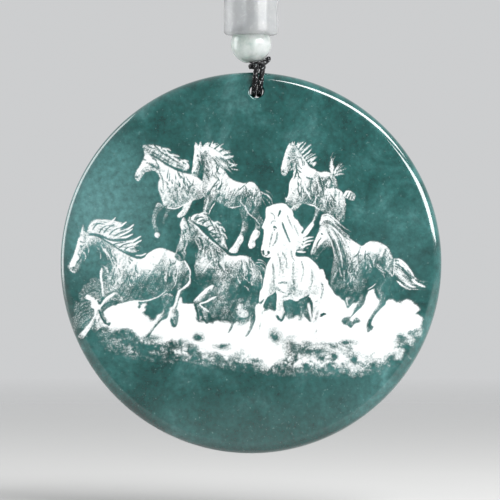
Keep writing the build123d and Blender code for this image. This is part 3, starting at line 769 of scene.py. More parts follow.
def white_body():
    """The pale horse in the middle, turned to the front."""
    # Dust behind it and the outer legs.
    cloud([(10.3, -1.3), (11.2, -2.8), (11.9, -4.1), (12.2, -5.9), (11.0, -7.3), (9.5, -5.9),
        (9.5, -3.2)], 0.3, 0.3)
    shape([(2.3, -4.0), (1.9, -5.4), (1.3, -6.5), (1.0, -8.1), (0.8, -10.0), (1.2, -10.0), (1.6, -8.1),
        (2.0, -6.6), (2.8, -4.8)], 0.6, 0.95, 0.5)
    shape([(8.2, -4.4), (8.9, -6.2), (9.1, -8.1), (9.3, -11.0), (9.7, -11.0), (9.8, -8.1), (10.1, -6.2),
        (10.2, -3.7)], 0.7, 0.95, 0.5)
    # Hair blown to the right.
    hair([(6.7, 4.7), (7.6, 4.0), (8.5, 3.8), (9.2, 3.9)],
        [(6.2, 2.3), (6.9, 1.8), (7.5, 1.5), (8.1, 1.5)], 7, 0.3, 0.5, 81)
    # Body, neck and head.
    shape([(2.2, 8.0), (2.9, 8.4), (3.8, 8.7), (4.9, 8.7), (5.5, 8.2), (6.1, 7.6), (6.3, 6.7),
        (6.8, 6.3), (7.2, 5.6), (7.7, 5.0), (7.4, 4.5), (7.6, 4.0), (7.5, 2.9), (6.7, 1.9), (6.6, 1.0),
        (8.2, 0.9), (9.0, 0.4), (9.7, -0.3), (10.2, -1.3), (10.5, -2.3), (10.3, -3.7), (9.8, -4.6),
        (8.7, -4.6), (6.9, -5.6), (5.7, -5.3), (4.7, -5.6), (3.7, -4.3), (2.9, -4.8), (1.9, -5.3),
        (1.2, -5.7), (1.3, -4.3), (1.7, -3.5), (1.8, -2.7), (2.1, -1.3), (2.4, -0.1), (2.9, 0.8),
        (2.4, 0.8), (1.7, 1.1), (1.5, 2.1), (1.7, 3.0), (1.9, 4.7), (1.6, 5.3), (2.1, 6.5)],
        1.1, 1.12, 0.5,
        glows=[((4.7, 2.5), 1.3, 1.0, -0.15), ((3.1, -3.2), 0.5, 1.6, -0.3),
        ((6.3, -3.4), 0.5, 1.8, -0.3), ((5.0, -3.7), 1.6, 0.8, -0.3), ((7.3, -0.7), 2.4, 1.4, -0.12),
        ((4.5, -0.4), 0.9, 2.4, -0.2), ((9.2, -3.2), 0.8, 1.6, -0.25), ((7.2, -4.4), 1.6, 0.6, -0.3)],
        texture=0.1)


def white_legs():
    """The pale horse's raised foreleg and the dark gaps between its legs."""
    # Raised foreleg.
    shape([(3.6, -3.1), (3.8, -4.8), (3.7, -6.3), (3.7, -7.6), (4.0, -8.3), (4.4, -8.6), (4.8, -8.2),
        (5.0, -7.3), (4.7, -6.2), (4.9, -4.8), (5.4, -3.4)], 0.5, 0.98, 0.5)
    ink(0.36, [(3.8, -7.7), (4.1, -8.2), (4.5, -8.4), (4.8, -7.9), (4.9, -7.4)])
    # Dark gaps between the legs.
    shape([(2.6, -4.9), (3.5, -4.7), (3.6, -5.7), (3.6, -7.0), (2.6, -6.7), (1.8, -6.5), (2.1, -5.6)],
        0.5, 0.1, 0.0)
    shape([(6.9, -5.7), (8.4, -4.9), (8.8, -6.0), (9.0, -7.0), (8.9, -8.6), (8.1, -8.1), (7.4, -7.0)],
        0.5, 0.2, 0.0)
    lit(0.42, [(8.4, -5.9), (8.6, -7.0), (8.9, -8.5)])
    gap((5.4, -6.2), 0.7, 0.5)
    gap((5.8, -7.0), 0.6, 0.6)


def white_marks():
    """The pale horse's face, faint shading, dark edges and bright hair."""
    # Face and neck.
    ink(0.28, [(4.3, 7.7), (4.2, 7.3), (4.0, 6.9)])
    ink(0.26, [(4.6, 5.9), (4.9, 5.0), (5.3, 4.0), (5.7, 3.1)])
    ink(0.3, [(3.3, 5.2), (3.5, 5.3), (3.7, 5.1)])
    ink(0.16, [(3.4, 4.9), (3.5, 4.8)])
    ink(0.34, [(1.8, 1.8), (1.8, 1.6), (1.9, 1.2)], [(2.5, 1.7), (2.6, 1.5), (2.5, 1.3)])
    ink(0.16, [(2.1, 1.1), (2.4, 1.1)])
    # Faint shading.
    pencil(0.14, [(2.9, 5.7), (3.2, 6.1), (3.7, 6.1)], [(3.2, 4.5), (2.9, 3.4), (2.7, 2.3)])
    pencil(0.2,
        [(3.9, 4.5), (3.7, 3.4), (3.2, 2.5)], [(3.2, 0.1), (3.3, -1.6), (3.4, -3.4)],
        [(6.2, 0.1), (6.2, -1.9), (6.4, -4.0)], [(4.1, -3.0), (4.8, -2.8), (5.4, -3.0)])
    pencil(0.22, [(3.7, -3.5), (4.3, -4.1), (5.1, -4.4)])
    pencil(0.2, [(5.9, -4.1), (5.4, -4.8), (4.5, -5.1)])
    pencil(0.16, [(8.9, -1.0), (9.0, -2.5), (8.6, -4.0)])
    pencil(0.13,
        [(4.6, 1.6), (5.2, 0.4), (5.2, -0.9)], [(7.4, 0.3), (7.7, -1.2), (7.3, -2.8)],
        [(3.9, 1.4), (4.3, 0.1), (4.2, -1.4)], [(5.9, 2.0), (6.0, 1.0), (6.5, 0.2)],
        [(2.9, 7.4), (3.4, 6.9), (3.5, 6.3)], [(5.3, 7.0), (5.7, 6.0), (6.1, 5.1)],
        [(6.3, 5.6), (6.7, 4.7), (7.0, 3.9)])
    pencil(0.22, [(10.4, -2.9), (10.5, -4.1), (10.2, -5.4)])
    # Dark edges of the right leg.
    ink(0.26, [(7.0, -5.5), (7.9, -5.1), (8.5, -4.7)])
    ink(0.3, [(8.4, -5.0), (8.9, -5.9), (9.0, -6.9)])
    ink(0.42, [(10.2, -7.8), (10.6, -7.5), (10.9, -7.5)])
    # Bright ends of the hair.
    lit(0.3,
        [(7.5, 3.3), (8.4, 3.7), (9.1, 3.8)], [(7.6, 2.8), (8.4, 3.2), (9.1, 3.3)],
        [(7.3, 2.2), (8.1, 2.6), (8.7, 2.8)], [(6.7, 1.7), (7.5, 1.6), (8.0, 1.6)])


# Painted in this order, because each one hides what is already there.
upper_left_body()
upper_left_marks()
upper_left_mane()
second_legs()
second_body()
second_mane()
far_right_horse()
third_horse()
dust_cloud()
leader_legs()
leader_body()
leader_marks()
leader_mane()
follower_body()
follower_mane()
follower_marks()
last_legs()
last_body()
last_mane()
white_body()
white_legs()
white_marks()


def frost_at(x, z):
    """How frosted the front is at each point, in metres from the disc's centre."""
    column = np.clip((x / MM + HALF) / CELL, 0, GRID - 1.001)
    row = np.clip((z / MM + HALF) / CELL, 0, GRID - 1.001)
    i, j = column.astype(int), row.astype(int)
    u, v = column - i, row - j
    low = frost[j, i] * (1 - u) + frost[j, i + 1] * u
    high = frost[j + 1, i] * (1 - u) + frost[j + 1, i + 1] * u
    return low * (1 - v) + high * v


# ---------------------------------------------------------------- node materials


def add(nodes, kind, x, y, **values):
    """A shader node at a place in the editor, with its properties set."""
    node = nodes.new(kind)
    node.location = (x, y)
    for name, value in values.items():
        setattr(node, name, value)
    return node


def new_material(name):
    """An empty node material: its tree and its Principled shader."""
    material = bpy.data.materials.new(name)
    material.use_nodes = True
    tree = material.node_tree
    shader = tree.nodes["Principled BSDF"]
    return material, tree, shader


def ramp(tree, x, y, stops):
    """A colour ramp with these (position, colour) stops."""
    node = add(tree.nodes, "ShaderNodeValToRGB", x, y)
    elements = node.color_ramp.elements
    while len(elements) < len(stops):
        elements.new(0.5)
    for element, (position, colour) in zip(elements, stops):
        element.position = position
        element.color = (*colour, 1)
    return node


def clouds(tree, x, y, scale, detail, rough=0.55, distortion=0.0):
    """Noise in object space, so that it stays with the piece."""
    where = add(tree.nodes, "ShaderNodeTexCoord", x - 200, y)
    node = add(tree.nodes, "ShaderNodeTexNoise", x, y)
    node.inputs["Scale"].default_value = scale
    node.inputs["Detail"].default_value = detail
    node.inputs["Roughness"].default_value = rough
    node.inputs["Distortion"].default_value = distortion
    tree.links.new(where.outputs["Object"], node.inputs["Vector"])
    return node


def mixed(tree, x, y, factor, first, second, blend="MIX"):
    """Two colours mixed. Each input is a socket or a plain value."""
    node = add(tree.nodes, "ShaderNodeMix", x, y, data_type="RGBA", blend_type=blend)
    for socket, value in ((node.inputs[0], factor), (node.inputs[6], first), (node.inputs[7], second)):
        if isinstance(value, bpy.types.NodeSocket):
            tree.links.new(value, socket)
        else:
            socket.default_value = value
    return node.outputs[2]


def ranged(tree, x, y, value, low, high, to_low, to_high):
    """A value carried from one range to another, and clamped."""
    node = add(tree.nodes, "ShaderNodeMapRange", x, y)
    for k, number in ((1, low), (2, high), (3, to_low), (4, to_high)):
        node.inputs[k].default_value = number
    tree.links.new(value, node.inputs[0])
    return node.outputs[0]


def bumped(tree, x, y, height, distance, strength):
    """A bump from a height socket."""
    node = add(tree.nodes, "ShaderNodeBump", x, y)
    node.inputs["Distance"].default_value = distance
    node.inputs["Strength"].default_value = strength
    tree.links.new(height, node.inputs["Height"])
    return node.outputs["Normal"]


def spot(tree, x, y, place, radius):
    """1 at a place on the face of the disc, in metres from its centre, falling to 0 at a radius."""
    where = add(tree.nodes, "ShaderNodeTexCoord", x - 400, y)
    away = add(tree.nodes, "ShaderNodeVectorMath", x - 200, y, operation="DISTANCE")
    away.inputs[1].default_value = (DISC_X + place[0], DISC_FRONT, DISC_Z + place[1])
    tree.links.new(where.outputs["Object"], away.inputs[0])
    return ranged(tree, x, y, away.outputs["Value"], 0.0, radius, 1.0, 0.0)


def computed(tree, x, y, operation, first, second):
    """A number worked out from two others. Each is a socket or a plain value."""
    node = add(tree.nodes, "ShaderNodeMath", x, y, operation=operation)
    for socket, value in zip(node.inputs, (first, second)):
        if isinstance(value, bpy.types.NodeSocket):
            tree.links.new(value, socket)
        else:
            socket.default_value = value
    return node.outputs[0]


# Lighter patches of the jade and, below 0, darker spots: place from its centre, radius, amount. The large
# dark spot at the bottom is painted shade on the disc's lower part.
PATCHES_AND_PAINTED_SHADE = [
    ((-0.023, 0.008), 0.014, 0.70),
    ((0.022, 0.002), 0.010, 0.15),
    ((0.018, -0.020), 0.012, 0.20),
    # Painted shade: darkens the lower part of the disc.
    ((0.000, -0.025), 0.019, -0.85),
    ((-0.004, 0.022), 0.012, -0.30),
]


def disc_jade():
    """Cloudy blue-green jade with light specks and painted shade towards the bottom, frosted white where
    it is engraved.
    """
    material, tree, shader = new_material("blue_green_jade")
    patches = clouds(tree, -1600, 300, 165, 5, 0.62, 0.5)
    colour = ramp(tree, -1400, 300, [
        (0.30, (0.003, 0.040, 0.037)),
        (0.45, (0.008, 0.066, 0.061)),
        (0.57, (0.019, 0.094, 0.089)),
        (0.72, (0.056, 0.160, 0.156)),
    ])
    tree.links.new(patches.outputs["Fac"], colour.inputs["Fac"])
    body = colour.outputs["Color"]
    pale = (0.110, 0.250, 0.252, 1)
    deep = (0.004, 0.045, 0.041, 1)
    for k, (place, radius, amount) in enumerate(PATCHES_AND_PAINTED_SHADE):
        near = spot(tree, -1600, 700 + 300 * k, place, radius)
        near = computed(tree, -1400, 700 + 300 * k, "MULTIPLY", near, abs(amount))
        # Spots below 0 mix towards deep; the one at the bottom is painted shade.
        body = mixed(tree, -1200, 700 + 300 * k, near, body, pale if amount > 0 else deep)
    grains = clouds(tree, -1200, 0, 1150, 4, 0.7)
    grain_light = ranged(tree, -1000, 0, grains.outputs["Fac"], 0.30, 0.74, 0.0, 1.0)
    grained = mixed(tree, -800, 200, grain_light, (0.66, 0.66, 0.66, 1), (1.36, 1.36, 1.36, 1))
    grainy = mixed(tree, -600, 300, 1.0, body, grained, "MULTIPLY")
    specks = clouds(tree, -1200, -300, 2600, 2, 0.5)
    speck_light = ranged(tree, -1000, -300, specks.outputs["Fac"], 0.68, 0.78, 0.0, 0.25)
    body = mixed(tree, -400, 300, speck_light, grainy, (0.30, 0.44, 0.42, 1))
    cover = engraving(tree)
    whole = mixed(tree, -200, 300, cover, body, (0.66, 0.68, 0.68, 1))
    tree.links.new(whole, shader.inputs["Base Color"])
    polish = ranged(tree, -200, -100, cover, 0.0, 1.0, 0.12, 0.62)
    tree.links.new(polish, shader.inputs["Roughness"])
    coat = ranged(tree, -200, -250, cover, 0.0, 0.3, 1.0, 0.0)
    tree.links.new(coat, shader.inputs["Coat Weight"])
    relief = bumped(tree, -200, -500, cover, 0.00006, 0.35)
    tree.links.new(relief, shader.inputs["Normal"])
    shader.inputs["IOR"].default_value = 1.45
    shader.inputs["Coat IOR"].default_value = 1.55
    shader.inputs["Coat Roughness"].default_value = 0.05
    return material


def engraving(tree):
    """How frosted the surface is: middle tones break up into fine dots."""
    etched = add(tree.nodes, "ShaderNodeAttribute", -1600, -600, attribute_name="etch").outputs["Fac"]
    dots = clouds(tree, -1600, -800, 7600, 1, 0.5)
    dot = ranged(tree, -1400, -800, dots.outputs["Fac"], 0.30, 0.70, -0.5, 0.5)
    bare = computed(tree, -1400, -600, "SUBTRACT", 1.0, etched)
    between = computed(tree, -1200, -600, "MULTIPLY", etched, bare)
    depth = computed(tree, -1000, -600, "MULTIPLY", between, 3.0)
    swing = computed(tree, -800, -700, "MULTIPLY", dot, depth)
    total = computed(tree, -600, -700, "ADD", etched, swing)
    held = ranged(tree, -500, -700, total, 0.0, 1.0, 0.0, 1.0)
    return computed(tree, -400, -700, "POWER", held, 2.0)


def bead_jade(name, light, deep, clear, blur, gloss, grain):
    """Milky translucent jade: light passes through it, blurred, under a clear polish."""
    material, tree, shader = new_material(name)
    patches = clouds(tree, -900, 200, grain, 5, 0.6, 0.6)
    colour = ramp(tree, -700, 200, [(0.32, deep), (0.68, light)])
    tree.links.new(patches.outputs["Fac"], colour.inputs["Fac"])
    veins = clouds(tree, -900, -100, 900, 4, 0.7, 1.2)
    vein_light = ranged(tree, -700, -100, veins.outputs["Fac"], 0.52, 0.74, 0.0, 0.35)
    whole = mixed(tree, -400, 200, vein_light, colour.outputs["Color"], (0.93, 0.95, 0.93, 1))
    tree.links.new(whole, shader.inputs["Base Color"])
    shader.inputs["Roughness"].default_value = blur
    shader.inputs["IOR"].default_value = 1.34
    shader.inputs["Specular IOR Level"].default_value = 0.1
    shader.inputs["Transmission Weight"].default_value = clear
    shader.inputs["Subsurface Weight"].default_value = 1.0
    shader.inputs["Subsurface Radius"].default_value = (1.0, 1.0, 0.95)
    shader.inputs["Subsurface Scale"].default_value = 0.006
    shader.inputs["Coat Weight"].default_value = gloss
    shader.inputs["Coat IOR"].default_value = 1.66
    shader.inputs["Coat Roughness"].default_value = 0.05
    return material


def black_cord():
    """Waxed black thread: a fine fibre texture along it, and pale flecks from noise that are painted
    highlights, glints on the glossy thread.
    """
    material, tree, shader = new_material("black_cord")
    fibres_and_glints = clouds(tree, -900, 200, 4600, 2, 0.6)
    # Near-black fibre tones; the top stop is a pale painted highlight, glints on the glossy thread put
    # into the colour.
    colour = ramp(tree, -700, 200, [
        (0.52, (0.003, 0.003, 0.004)),
        (0.62, (0.009, 0.009, 0.010)),
        (0.68, (0.60, 0.62, 0.63)),
    ])
    tree.links.new(fibres_and_glints.outputs["Fac"], colour.inputs["Fac"])
    tree.links.new(colour.outputs["Color"], shader.inputs["Base Color"])
    relief = bumped(tree, -400, -200, fibres_and_glints.outputs["Fac"], 0.00003, 0.6)
    tree.links.new(relief, shader.inputs["Normal"])
    shader.inputs["Roughness"].default_value = 0.45
    shader.inputs["Specular IOR Level"].default_value = 0.14
    return material


JADE = disc_jade()
PALE_JADE = bead_jade("pale_green_jade", (0.92, 0.98, 0.94), (0.50, 0.64, 0.57), 0.5, 0.25, 0.8, 620)
MILKY_JADE = bead_jade("white_jade", (0.61, 0.62, 0.615), (0.50, 0.515, 0.53), 0.66, 0.26, 0.2, 300)
CORD = black_cord()


# ---------------------------------------------------------------- the carved disc

RIM = 0.0015
FACE_RADIUS = DISC_RADIUS - RIM
ENGRAVED_DEPTH = 0.00007
FRONT_CELLS = 480
BACK_CELLS = 120
# The back's flat grid is this much smaller than the rim's last ring, which it is joined to.
BACK_SHRINK = 0.985
HOLE_FLARE = 0.0002
# The engraving counts only this far behind the front.
FRONT_ZONE = 0.0011


def linked(name, data):
    """A new object with this data, in the scene."""
    piece = bpy.data.objects.new(name, data)
    bpy.context.scene.collection.objects.link(piece)
    return piece


def square_to_disc(a, b):
    """Carries a square of side 2 onto a disc of radius 1, keeping areas even."""
    wide = np.abs(a) > np.abs(b)
    radius = np.where(wide, a, b)
    safe = np.where(radius == 0, 1, radius)
    turn = np.where(wide, math.pi / 4 * b / safe, math.pi / 2 - math.pi / 4 * a / safe)
    return radius * np.cos(turn), radius * np.sin(turn)


def square_edge(count):
    """Indexes of the points round a count by count square, counterclockwise."""
    last = count - 1
    index = np.arange(count * count).reshape(count, count)
    parts = [index[0, :last], index[:last, last], index[last, :0:-1], index[:0:-1, 0]]
    return np.concatenate(parts)


def flat_disc(cells, radius):
    """Points and quads of a flat disc, and the points round its edge."""
    side = np.linspace(-1, 1, cells + 1)
    a, b = np.meshgrid(side, side)
    x, z = square_to_disc(a.ravel(), b.ravel())
    index = np.arange((cells + 1) ** 2).reshape(cells + 1, cells + 1)
    quads = np.stack([index[:-1, :-1], index[:-1, 1:], index[1:, 1:], index[1:, :-1]], -1)
    return x * radius, z * radius, quads.reshape(-1, 4), square_edge(cells + 1)


def rim_profile():
    """(radius, y) points round the polished rim, from the front face to the back one."""
    front = [math.radians(d) for d in range(10, 91, 10)]
    back = [math.radians(d) for d in range(90, -1, -10)]
    points = [(FACE_RADIUS + RIM * math.sin(t), DISC_FRONT + RIM * (1 - math.cos(t))) for t in front]
    points += [(DISC_RADIUS, (DISC_FRONT + DISC_BACK) / 2)]
    points += [(FACE_RADIUS + RIM * math.sin(t), DISC_BACK - RIM * (1 - math.cos(t))) for t in back]
    return points


def joined_edges(outer, inner):
    """Faces between two rings of points, where the outer one has a whole number of times more."""
    step = len(outer) // len(inner)
    faces = []
    for k in range(len(inner)):
        outside = [outer[(k * step + j) % len(outer)] for j in range(step + 1)]
        inside = [inner[(k + 1) % len(inner)], inner[k]]
        faces.append([int(n) for n in outside[::-1] + inside[::-1]])
    return faces


def carved_disc():
    """The disc as one closed mesh, with the engraving sunk into its front."""
    x, z, quads, edge = flat_disc(FRONT_CELLS, FACE_RADIUS)
    sunk = ENGRAVED_DEPTH * frost_at(x, z)
    points = [np.column_stack([x + DISC_X, DISC_FRONT + sunk, z + DISC_Z])]
    faces = quads.tolist()
    bearing = np.arctan2(z[edge], x[edge])
    total = len(x)
    previous = edge
    for radius, y in rim_profile():
        ring_x, ring_z = radius * np.cos(bearing), radius * np.sin(bearing)
        points.append(np.column_stack([ring_x + DISC_X, np.full(len(edge), y), ring_z + DISC_Z]))
        current = np.arange(total, total + len(edge))
        total += len(edge)
        after = np.roll(previous, -1), np.roll(current, -1)
        faces += np.stack([previous, current, after[1], after[0]], -1).tolist()
        previous = current
    x, z, quads, back_edge = flat_disc(BACK_CELLS, FACE_RADIUS * BACK_SHRINK)
    points.append(np.column_stack([x + DISC_X, np.full(len(x), DISC_BACK), z + DISC_Z]))
    faces += (quads[:, ::-1] + total).tolist()
    faces += joined_edges(previous, back_edge + total)
    mesh = bpy.data.meshes.new("carved_disc")
    mesh.from_pydata(np.vstack(points).tolist(), [], faces)
    mesh.validate()
    return linked("carved_disc", mesh)


def lathe(name, profile, segments, centre):
    """A solid of revolution about the Y axis through centre, from (radius, y) points."""
    angles = np.linspace(0, 2 * math.pi, segments, endpoint=False)
    points = [
        (centre[0] + r * math.cos(t), y, centre[1] + r * math.sin(t))
        for r, y in profile
        for t in angles
    ]
    faces = [list(range(segments))]
    for k in range(len(profile) - 1):
        for j in range(segments):
            a, b = k * segments + j, k * segments + (j + 1) % segments
            faces.append([b, a, a + segments, b + segments])
    faces.append(list(range(len(points) - segments, len(points)))[::-1])
    mesh = bpy.data.meshes.new(name)
    mesh.from_pydata(points, [], faces)
    mesh.update()
    return linked(name, mesh)


def as_mesh(piece, name):
    """The piece's mesh with its modifiers applied."""
    bpy.context.view_layer.update()
    graph = bpy.context.evaluated_depsgraph_get()
    mesh = bpy.data.meshes.new_from_object(piece.evaluated_get(graph))
    mesh.name = name
    return mesh


def hole_drill():
    """The shape of the cord hole, flared at both faces and reaching a little past them."""
    past = 0.001
    wide = HOLE_RADIUS + HOLE_FLARE + past
    profile = [
        (wide, DISC_FRONT - past),
        (HOLE_RADIUS, DISC_FRONT + HOLE_FLARE),
        (HOLE_RADIUS, DISC_BACK - HOLE_FLARE),
        (wide, DISC_BACK + past),
    ]
    return lathe("drill", profile, 96, (HOLE_X, HOLE_Z))


def store_frost(mesh):
    """Keeps the drawing on the mesh, as the attribute that the jade's shader reads."""
    co = np.zeros(len(mesh.vertices) * 3, np.float32)
    mesh.vertices.foreach_get("co", co)
    co = co.reshape(-1, 3)
    on_front = co[:, 1] < DISC_FRONT + FRONT_ZONE
    value = frost_at(co[:, 0] - DISC_X, co[:, 2] - DISC_Z) * on_front
    etch = mesh.attributes.new("etch", "FLOAT", "POINT")
    etch.data.foreach_set("value", value.astype(np.float32))


def finished_disc():
    """The carved disc with its cord hole cut, its frost stored and its material on."""
    blank = carved_disc()
    drill = hole_drill()
    cut = blank.modifiers.new("cut", "BOOLEAN")
    cut.operation = "DIFFERENCE"
    cut.solver = "MANIFOLD"
    cut.object = drill
    mesh = as_mesh(blank, "engraved_disc")
    bpy.data.objects.remove(blank)
    bpy.data.objects.remove(drill)
    store_frost(mesh)
    mesh.materials.clear()
    mesh.materials.append(JADE)
    mesh.shade_smooth()
    piece = linked("engraved_disc", mesh)
    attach(piece, "disc")
    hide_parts("jade_disc")


finished_disc()


# ---------------------------------------------------------------- beads


def dress(node, material):
    """Gives a carried-over CAD node its material."""
    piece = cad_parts[node]
    piece.data.materials.clear()
    piece.data.materials.append(material)


dress("lower_round_bead", PALE_JADE)
dress("upper_round_bead", PALE_JADE)
dress("tube_bead", MILKY_JADE)


# ---------------------------------------------------------------- braided cord

THREADS = 8
STEPS_PER_LAY = 14
# Sizes of the core and of one thread, as parts of the cord's radius, and how deep a thread
# dips under the others, as a part of its own size.
CORE_SIZE = 0.82
CORE_CORNERS = 10
THREAD_SIZE = 0.30
THREAD_CORNERS = 6
WEAVE_DEPTH = 0.42
# The plait turns once in this length.
LAY = 0.0034
# Paired strands lie side by side, each this far from the middle.
SIDE = CORD_RADIUS * 1.011
LOOP_ROUTE = [
    (-SIDE, 0, -0.01555),
    (-SIDE, 0, -0.01375),
    (-0.0032, 0, -0.00755),
    (-0.0032, 0, 0.00045),
    (0.0032, 0, 0.00045),
    (0.0032, 0, -0.00755),
    (SIDE, 0, -0.01375),
    (SIDE, 0, -0.01555),
]


def route_points(name, route):
    """The smooth line of a cord: a NURBS spline with the route's points as its controls."""
    curve = bpy.data.curves.new(name + "_route", "CURVE")
    curve.dimensions = "3D"
    curve.resolution_u = 24
    spline = curve.splines.new("NURBS")
    spline.points.add(len(route) - 1)
    for point, place in zip(spline.points, route):
        point.co = (*place, 1)
    spline.order_u = min(3, len(route))
    spline.use_endpoint_u = True
    holder = linked(name + "_route", curve)
    mesh = as_mesh(holder, name + "_line")
    path = np.array([v.co for v in mesh.vertices], float)
    bpy.data.objects.remove(holder)
    bpy.data.meshes.remove(mesh)
    return path


def carried_frames(path):
    """A tangent and two side directions at each point, without sudden twists."""
    tangent = np.gradient(path, axis=0)
    tangent /= np.linalg.norm(tangent, axis=1)[:, None]
    side = np.cross(tangent[0], (0.3, 1.0, 0.2))
    side /= np.linalg.norm(side)
    sides = [side]
    for t in tangent[1:]:
        side = sides[-1] - (sides[-1] @ t) * t
        sides.append(side / np.linalg.norm(side))
    sides = np.array(sides)
    return tangent, sides, np.cross(tangent, sides)


def tube(path, radius, corners):
    """Points and faces of a closed tube along a path."""
    _, u, v = carried_frames(path)
    turn = np.linspace(0, 2 * math.pi, corners, endpoint=False)
    circle = u[:, None] * np.cos(turn)[:, None] + v[:, None] * np.sin(turn)[:, None]
    radius = np.broadcast_to(radius, len(path))[:, None, None]
    points = (path[:, None] + radius * circle).reshape(-1, 3)
    index = np.arange(len(points)).reshape(len(path), corners)
    ahead = np.roll(index, -1, 1)
    faces = np.stack([index[:-1], ahead[:-1], ahead[1:], index[1:]], -1).reshape(-1, 4)
    caps = [index[0, ::-1].tolist(), index[-1].tolist()]
    return points, faces.tolist() + caps


def rounded_ends(run, length):
    """How full a cord is along its run: 1, falling to almost 0 over that length at its ends."""
    near = np.clip(np.minimum(run, run[-1] - run) / length, 0.02, 1)
    return np.sqrt(1 - (1 - near) ** 2)


def wound(path, run, full, radius, lay_length, number):
    """The line of one thread: it winds round the path, over and under the other ones."""
    _, u, v = carried_frames(path)
    half = THREADS // 2
    way = 1 if number < half else -1
    phase = 2 * math.pi * (number % half) / half
    angle = way * 2 * math.pi * run / lay_length + phase
    weave = np.sin(half * angle * way + (0 if way > 0 else math.pi))
    thread = radius * THREAD_SIZE
    depth = thread * WEAVE_DEPTH
    away = full * (radius - thread + depth * weave - depth)
    return path + away[:, None] * (u * np.cos(angle)[:, None] + v * np.sin(angle)[:, None])


def braid(name, path, radius, lay_length, body, replaced):
    """A round plait of threads over a core: half wind each way, passing over and under."""
    step = lay_length / STEPS_PER_LAY
    path, run = resampled(path, max(3, int(run_along(path)[-1] / step) + 1))
    full = rounded_ends(run, radius)
    tubes = [tube(path, radius * CORE_SIZE * full, CORE_CORNERS)]
    for number in range(THREADS):
        line = wound(path, run, full, radius, lay_length, number)
        tubes.append(tube(line, radius * THREAD_SIZE * full, THREAD_CORNERS))
    points, faces, total = [], [], 0
    for tube_points, tube_faces in tubes:
        points.append(tube_points)
        faces += [[n + total for n in face] for face in tube_faces]
        total += len(tube_points)
    mesh = bpy.data.meshes.new(name)
    mesh.from_pydata(np.vstack(points).tolist(), [], faces)
    mesh.materials.append(CORD)
    mesh.shade_smooth()
    piece = linked(name, mesh)
    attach(piece, body)
    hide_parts(*replaced)
    return piece


def loop_cord():
    """The hanging loop: a free cord that leaves the top knot and goes back into it."""
    path = route_points("loop", LOOP_ROUTE)
    piece = braid("loop_braid", path, CORD_RADIUS, LAY, "loop", ["hanging_loop"])


def core_cord():
    """The two straight strands that run up through the beads."""
    for place, side in (("front", -1), ("back", 1)):
        route = [(0, side * SIDE, -0.04488), (0, side * SIDE, -0.01865)]
        straight = np.linspace(route[0], route[1], 40)
        braid("core_braid_" + place, straight, CORD_RADIUS, LAY, "cord", ["core_strand_" + place])


def bail_cord():
    """The two strands from the knot down the front, through the hole and up the back."""
    for place, side in (("left", -1), ("right", 1)):
        foot = 0.00128 + side * SIDE
        low = HOLE_X + side * 0.90 * SIDE
        route = [
            (foot, -0.00142, -0.04535),
            (foot, -0.00305, -0.04535),
            (low, -0.00310, -0.04955),
            (low, 0.00310, -0.04955),
            (foot, 0.00305, -0.04535),
            (foot, 0.00142, -0.04535),
        ]
        path = route_points("bail_" + place, route)
        braid("bail_braid_" + place, path, CORD_RADIUS, LAY, "bail", ["bail_strand_" + place])


loop_cord()
core_cord()
bail_cord()


# ---------------------------------------------------------------- knots, tied from real turns

KNOT_LAY = 0.0030


def ring_path(centre, radius, lift):
    """A closed turn, nearly level, whose two ends pass one above the other."""
    count = 48
    angles = np.linspace(math.radians(-100), math.radians(262), count)
    rise = np.linspace(-lift, lift, count)
    x = centre[0] + radius * np.cos(angles)
    y = centre[1] + radius * np.sin(angles)
    return np.column_stack([x, y, centre[2] + rise])


def bail_knot():
    """The knot between the lower bead and the disc, with one turn standing up beside the bead."""
    wrap = ring_path((0.0009, 0.0, -0.0454), 0.00092, 0.00008)
    braid("knot_wrap", wrap, 0.00043, KNOT_LAY, "bail", ["bail_knot"])
    over = route_points("knot_over", [
        (-0.0001, -0.0004, -0.0455),
        (0.0000, -0.0012, -0.0454),
        (0.0004, -0.0015, -0.0452),
        (0.0013, -0.0014, -0.0450),
        (0.0019, -0.0010, -0.0448),
        (0.0022, -0.0003, -0.0447),
        (0.0021, 0.0004, -0.0448),
    ])
    braid("knot_over", over, 0.00044, KNOT_LAY, "bail", ["bail_knot"])
    bead_x, bead_z, reach = 0.0, -0.0420, 0.00345
    arc = []
    for degrees in (-93, -85, -75, -65, -55, -45, -35):
        turn = math.radians(degrees)
        arc.append((bead_x + reach * math.cos(turn), 0.0, bead_z + reach * math.sin(turn)))
    standing = route_points("knot_turn", arc)
    braid("knot_turn", standing, 0.00046, KNOT_LAY, "bail", ["bail_knot"])


def top_knot():
    """A round stopper knot: turns of cord wound over a ball, above the beads."""
    middle, ball = -0.0171, 0.00107
    turns, count = 2.7, 150
    angles = np.linspace(0, 2 * math.pi * turns, count)
    latitude = np.radians(np.linspace(-52, 52, count))
    wide = ball * np.cos(latitude)
    height = middle + ball * np.sin(latitude)
    line = np.column_stack([wide * np.cos(angles), wide * np.sin(angles), height])
    braid("top_knot_turns", line, 0.00043, KNOT_LAY, "stopper", ["top_knot"])


bail_knot()
top_knot()


# ---------------------------------------------------------------- floor, light and camera

FLOOR_Z = -0.1105
FLOOR_RADIUS = 0.65
FADE_FROM = 0.10
FADE_TO = 0.62
VIEW_WIDTH = 0.0733
CAMERA_AWAY = 0.60
SENSOR = 36
AIM = Vector((-0.00015, DISC_FRONT, -0.0724))


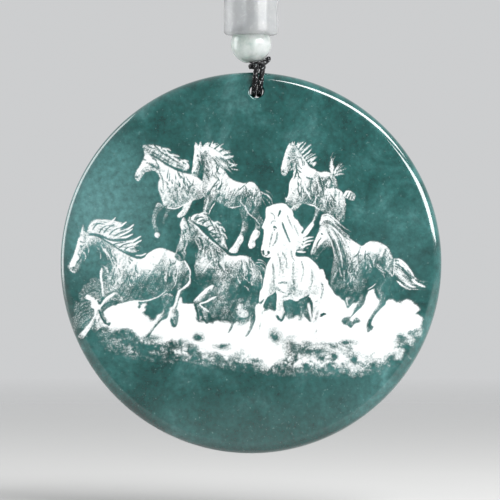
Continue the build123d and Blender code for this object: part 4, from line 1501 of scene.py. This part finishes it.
def pale_floor():
    """A plain pale floor that fades into the pale surroundings."""
    material, tree, shader = new_material("pale_floor")
    where = add(tree.nodes, "ShaderNodeTexCoord", -900, 0)
    away = add(tree.nodes, "ShaderNodeVectorMath", -700, 0, operation="LENGTH")
    tree.links.new(where.outputs["Object"], away.inputs[0])
    fade = ranged(tree, -500, 0, away.outputs["Value"], FADE_FROM, FADE_TO, 1.0, 0.0)
    tree.links.new(fade, shader.inputs["Alpha"])
    shader.inputs["Base Color"].default_value = (0.50, 0.50, 0.495, 1)
    shader.inputs["Roughness"].default_value = 0.85
    shader.inputs["Specular IOR Level"].default_value = 0.1
    bpy.ops.mesh.primitive_circle_add(vertices=96, radius=FLOOR_RADIUS, fill_type="NGON")
    floor = bpy.context.object
    floor.name = "floor"
    floor.location = (0, 0, FLOOR_Z)
    floor.data.materials.append(material)


def softbox(name, place, target, wide, tall, power):
    """A rectangular soft light aimed at a point."""
    light = bpy.data.lights.new(name, "AREA")
    light.shape = "RECTANGLE"
    light.size = wide
    light.size_y = tall
    light.energy = power
    piece = linked(name, light)
    piece.location = place
    piece.visible_camera = False
    piece.rotation_euler = (target - Vector(place)).to_track_quat("-Z", "Y").to_euler()


def studio():
    """Pale surroundings, darker behind the camera, and softboxes at the right, above and left."""
    world = bpy.data.worlds.new("studio")
    world.use_nodes = True
    tree = world.node_tree
    surroundings = tree.nodes["Background"]
    surroundings.inputs["Color"].default_value = (0.80, 0.81, 0.82, 1)
    where = add(tree.nodes, "ShaderNodeTexCoord", -900, 0)
    facing = add(tree.nodes, "ShaderNodeVectorMath", -700, 0, operation="DOT_PRODUCT")
    facing.inputs[1].default_value = (0.0, -1.0, 0.0)
    tree.links.new(where.outputs["Generated"], facing.inputs[0])
    strength = ranged(tree, -500, 0, facing.outputs["Value"], 0.0, 1.0, 0.76, 0.36)
    tree.links.new(strength, surroundings.inputs["Strength"])
    bpy.context.scene.world = world
    softbox("key", (0.34, -0.29, 0.05), AIM, 0.32, 0.16, 1.9)
    softbox("upper", (0.25, -0.27, 0.28), AIM, 0.48, 0.14, 3.0)
    softbox("left_panel", (-0.42, 0.08, -0.02), AIM, 0.24, 0.80, 2.4)


def camera():
    """A long lens, level and square to the disc."""
    lens = bpy.data.cameras.new("camera")
    lens.sensor_width = SENSOR
    lens.lens = SENSOR * CAMERA_AWAY / VIEW_WIDTH
    lens.clip_start = 0.01
    lens.clip_end = 20
    view = linked("camera", lens)
    view.location = AIM + Vector((0, -CAMERA_AWAY, 0))
    view.rotation_euler = (math.radians(90), 0, 0)
    bpy.context.scene.camera = view


pale_floor()
studio()
camera()
bpy.context.scene.view_settings.view_transform = "Standard"
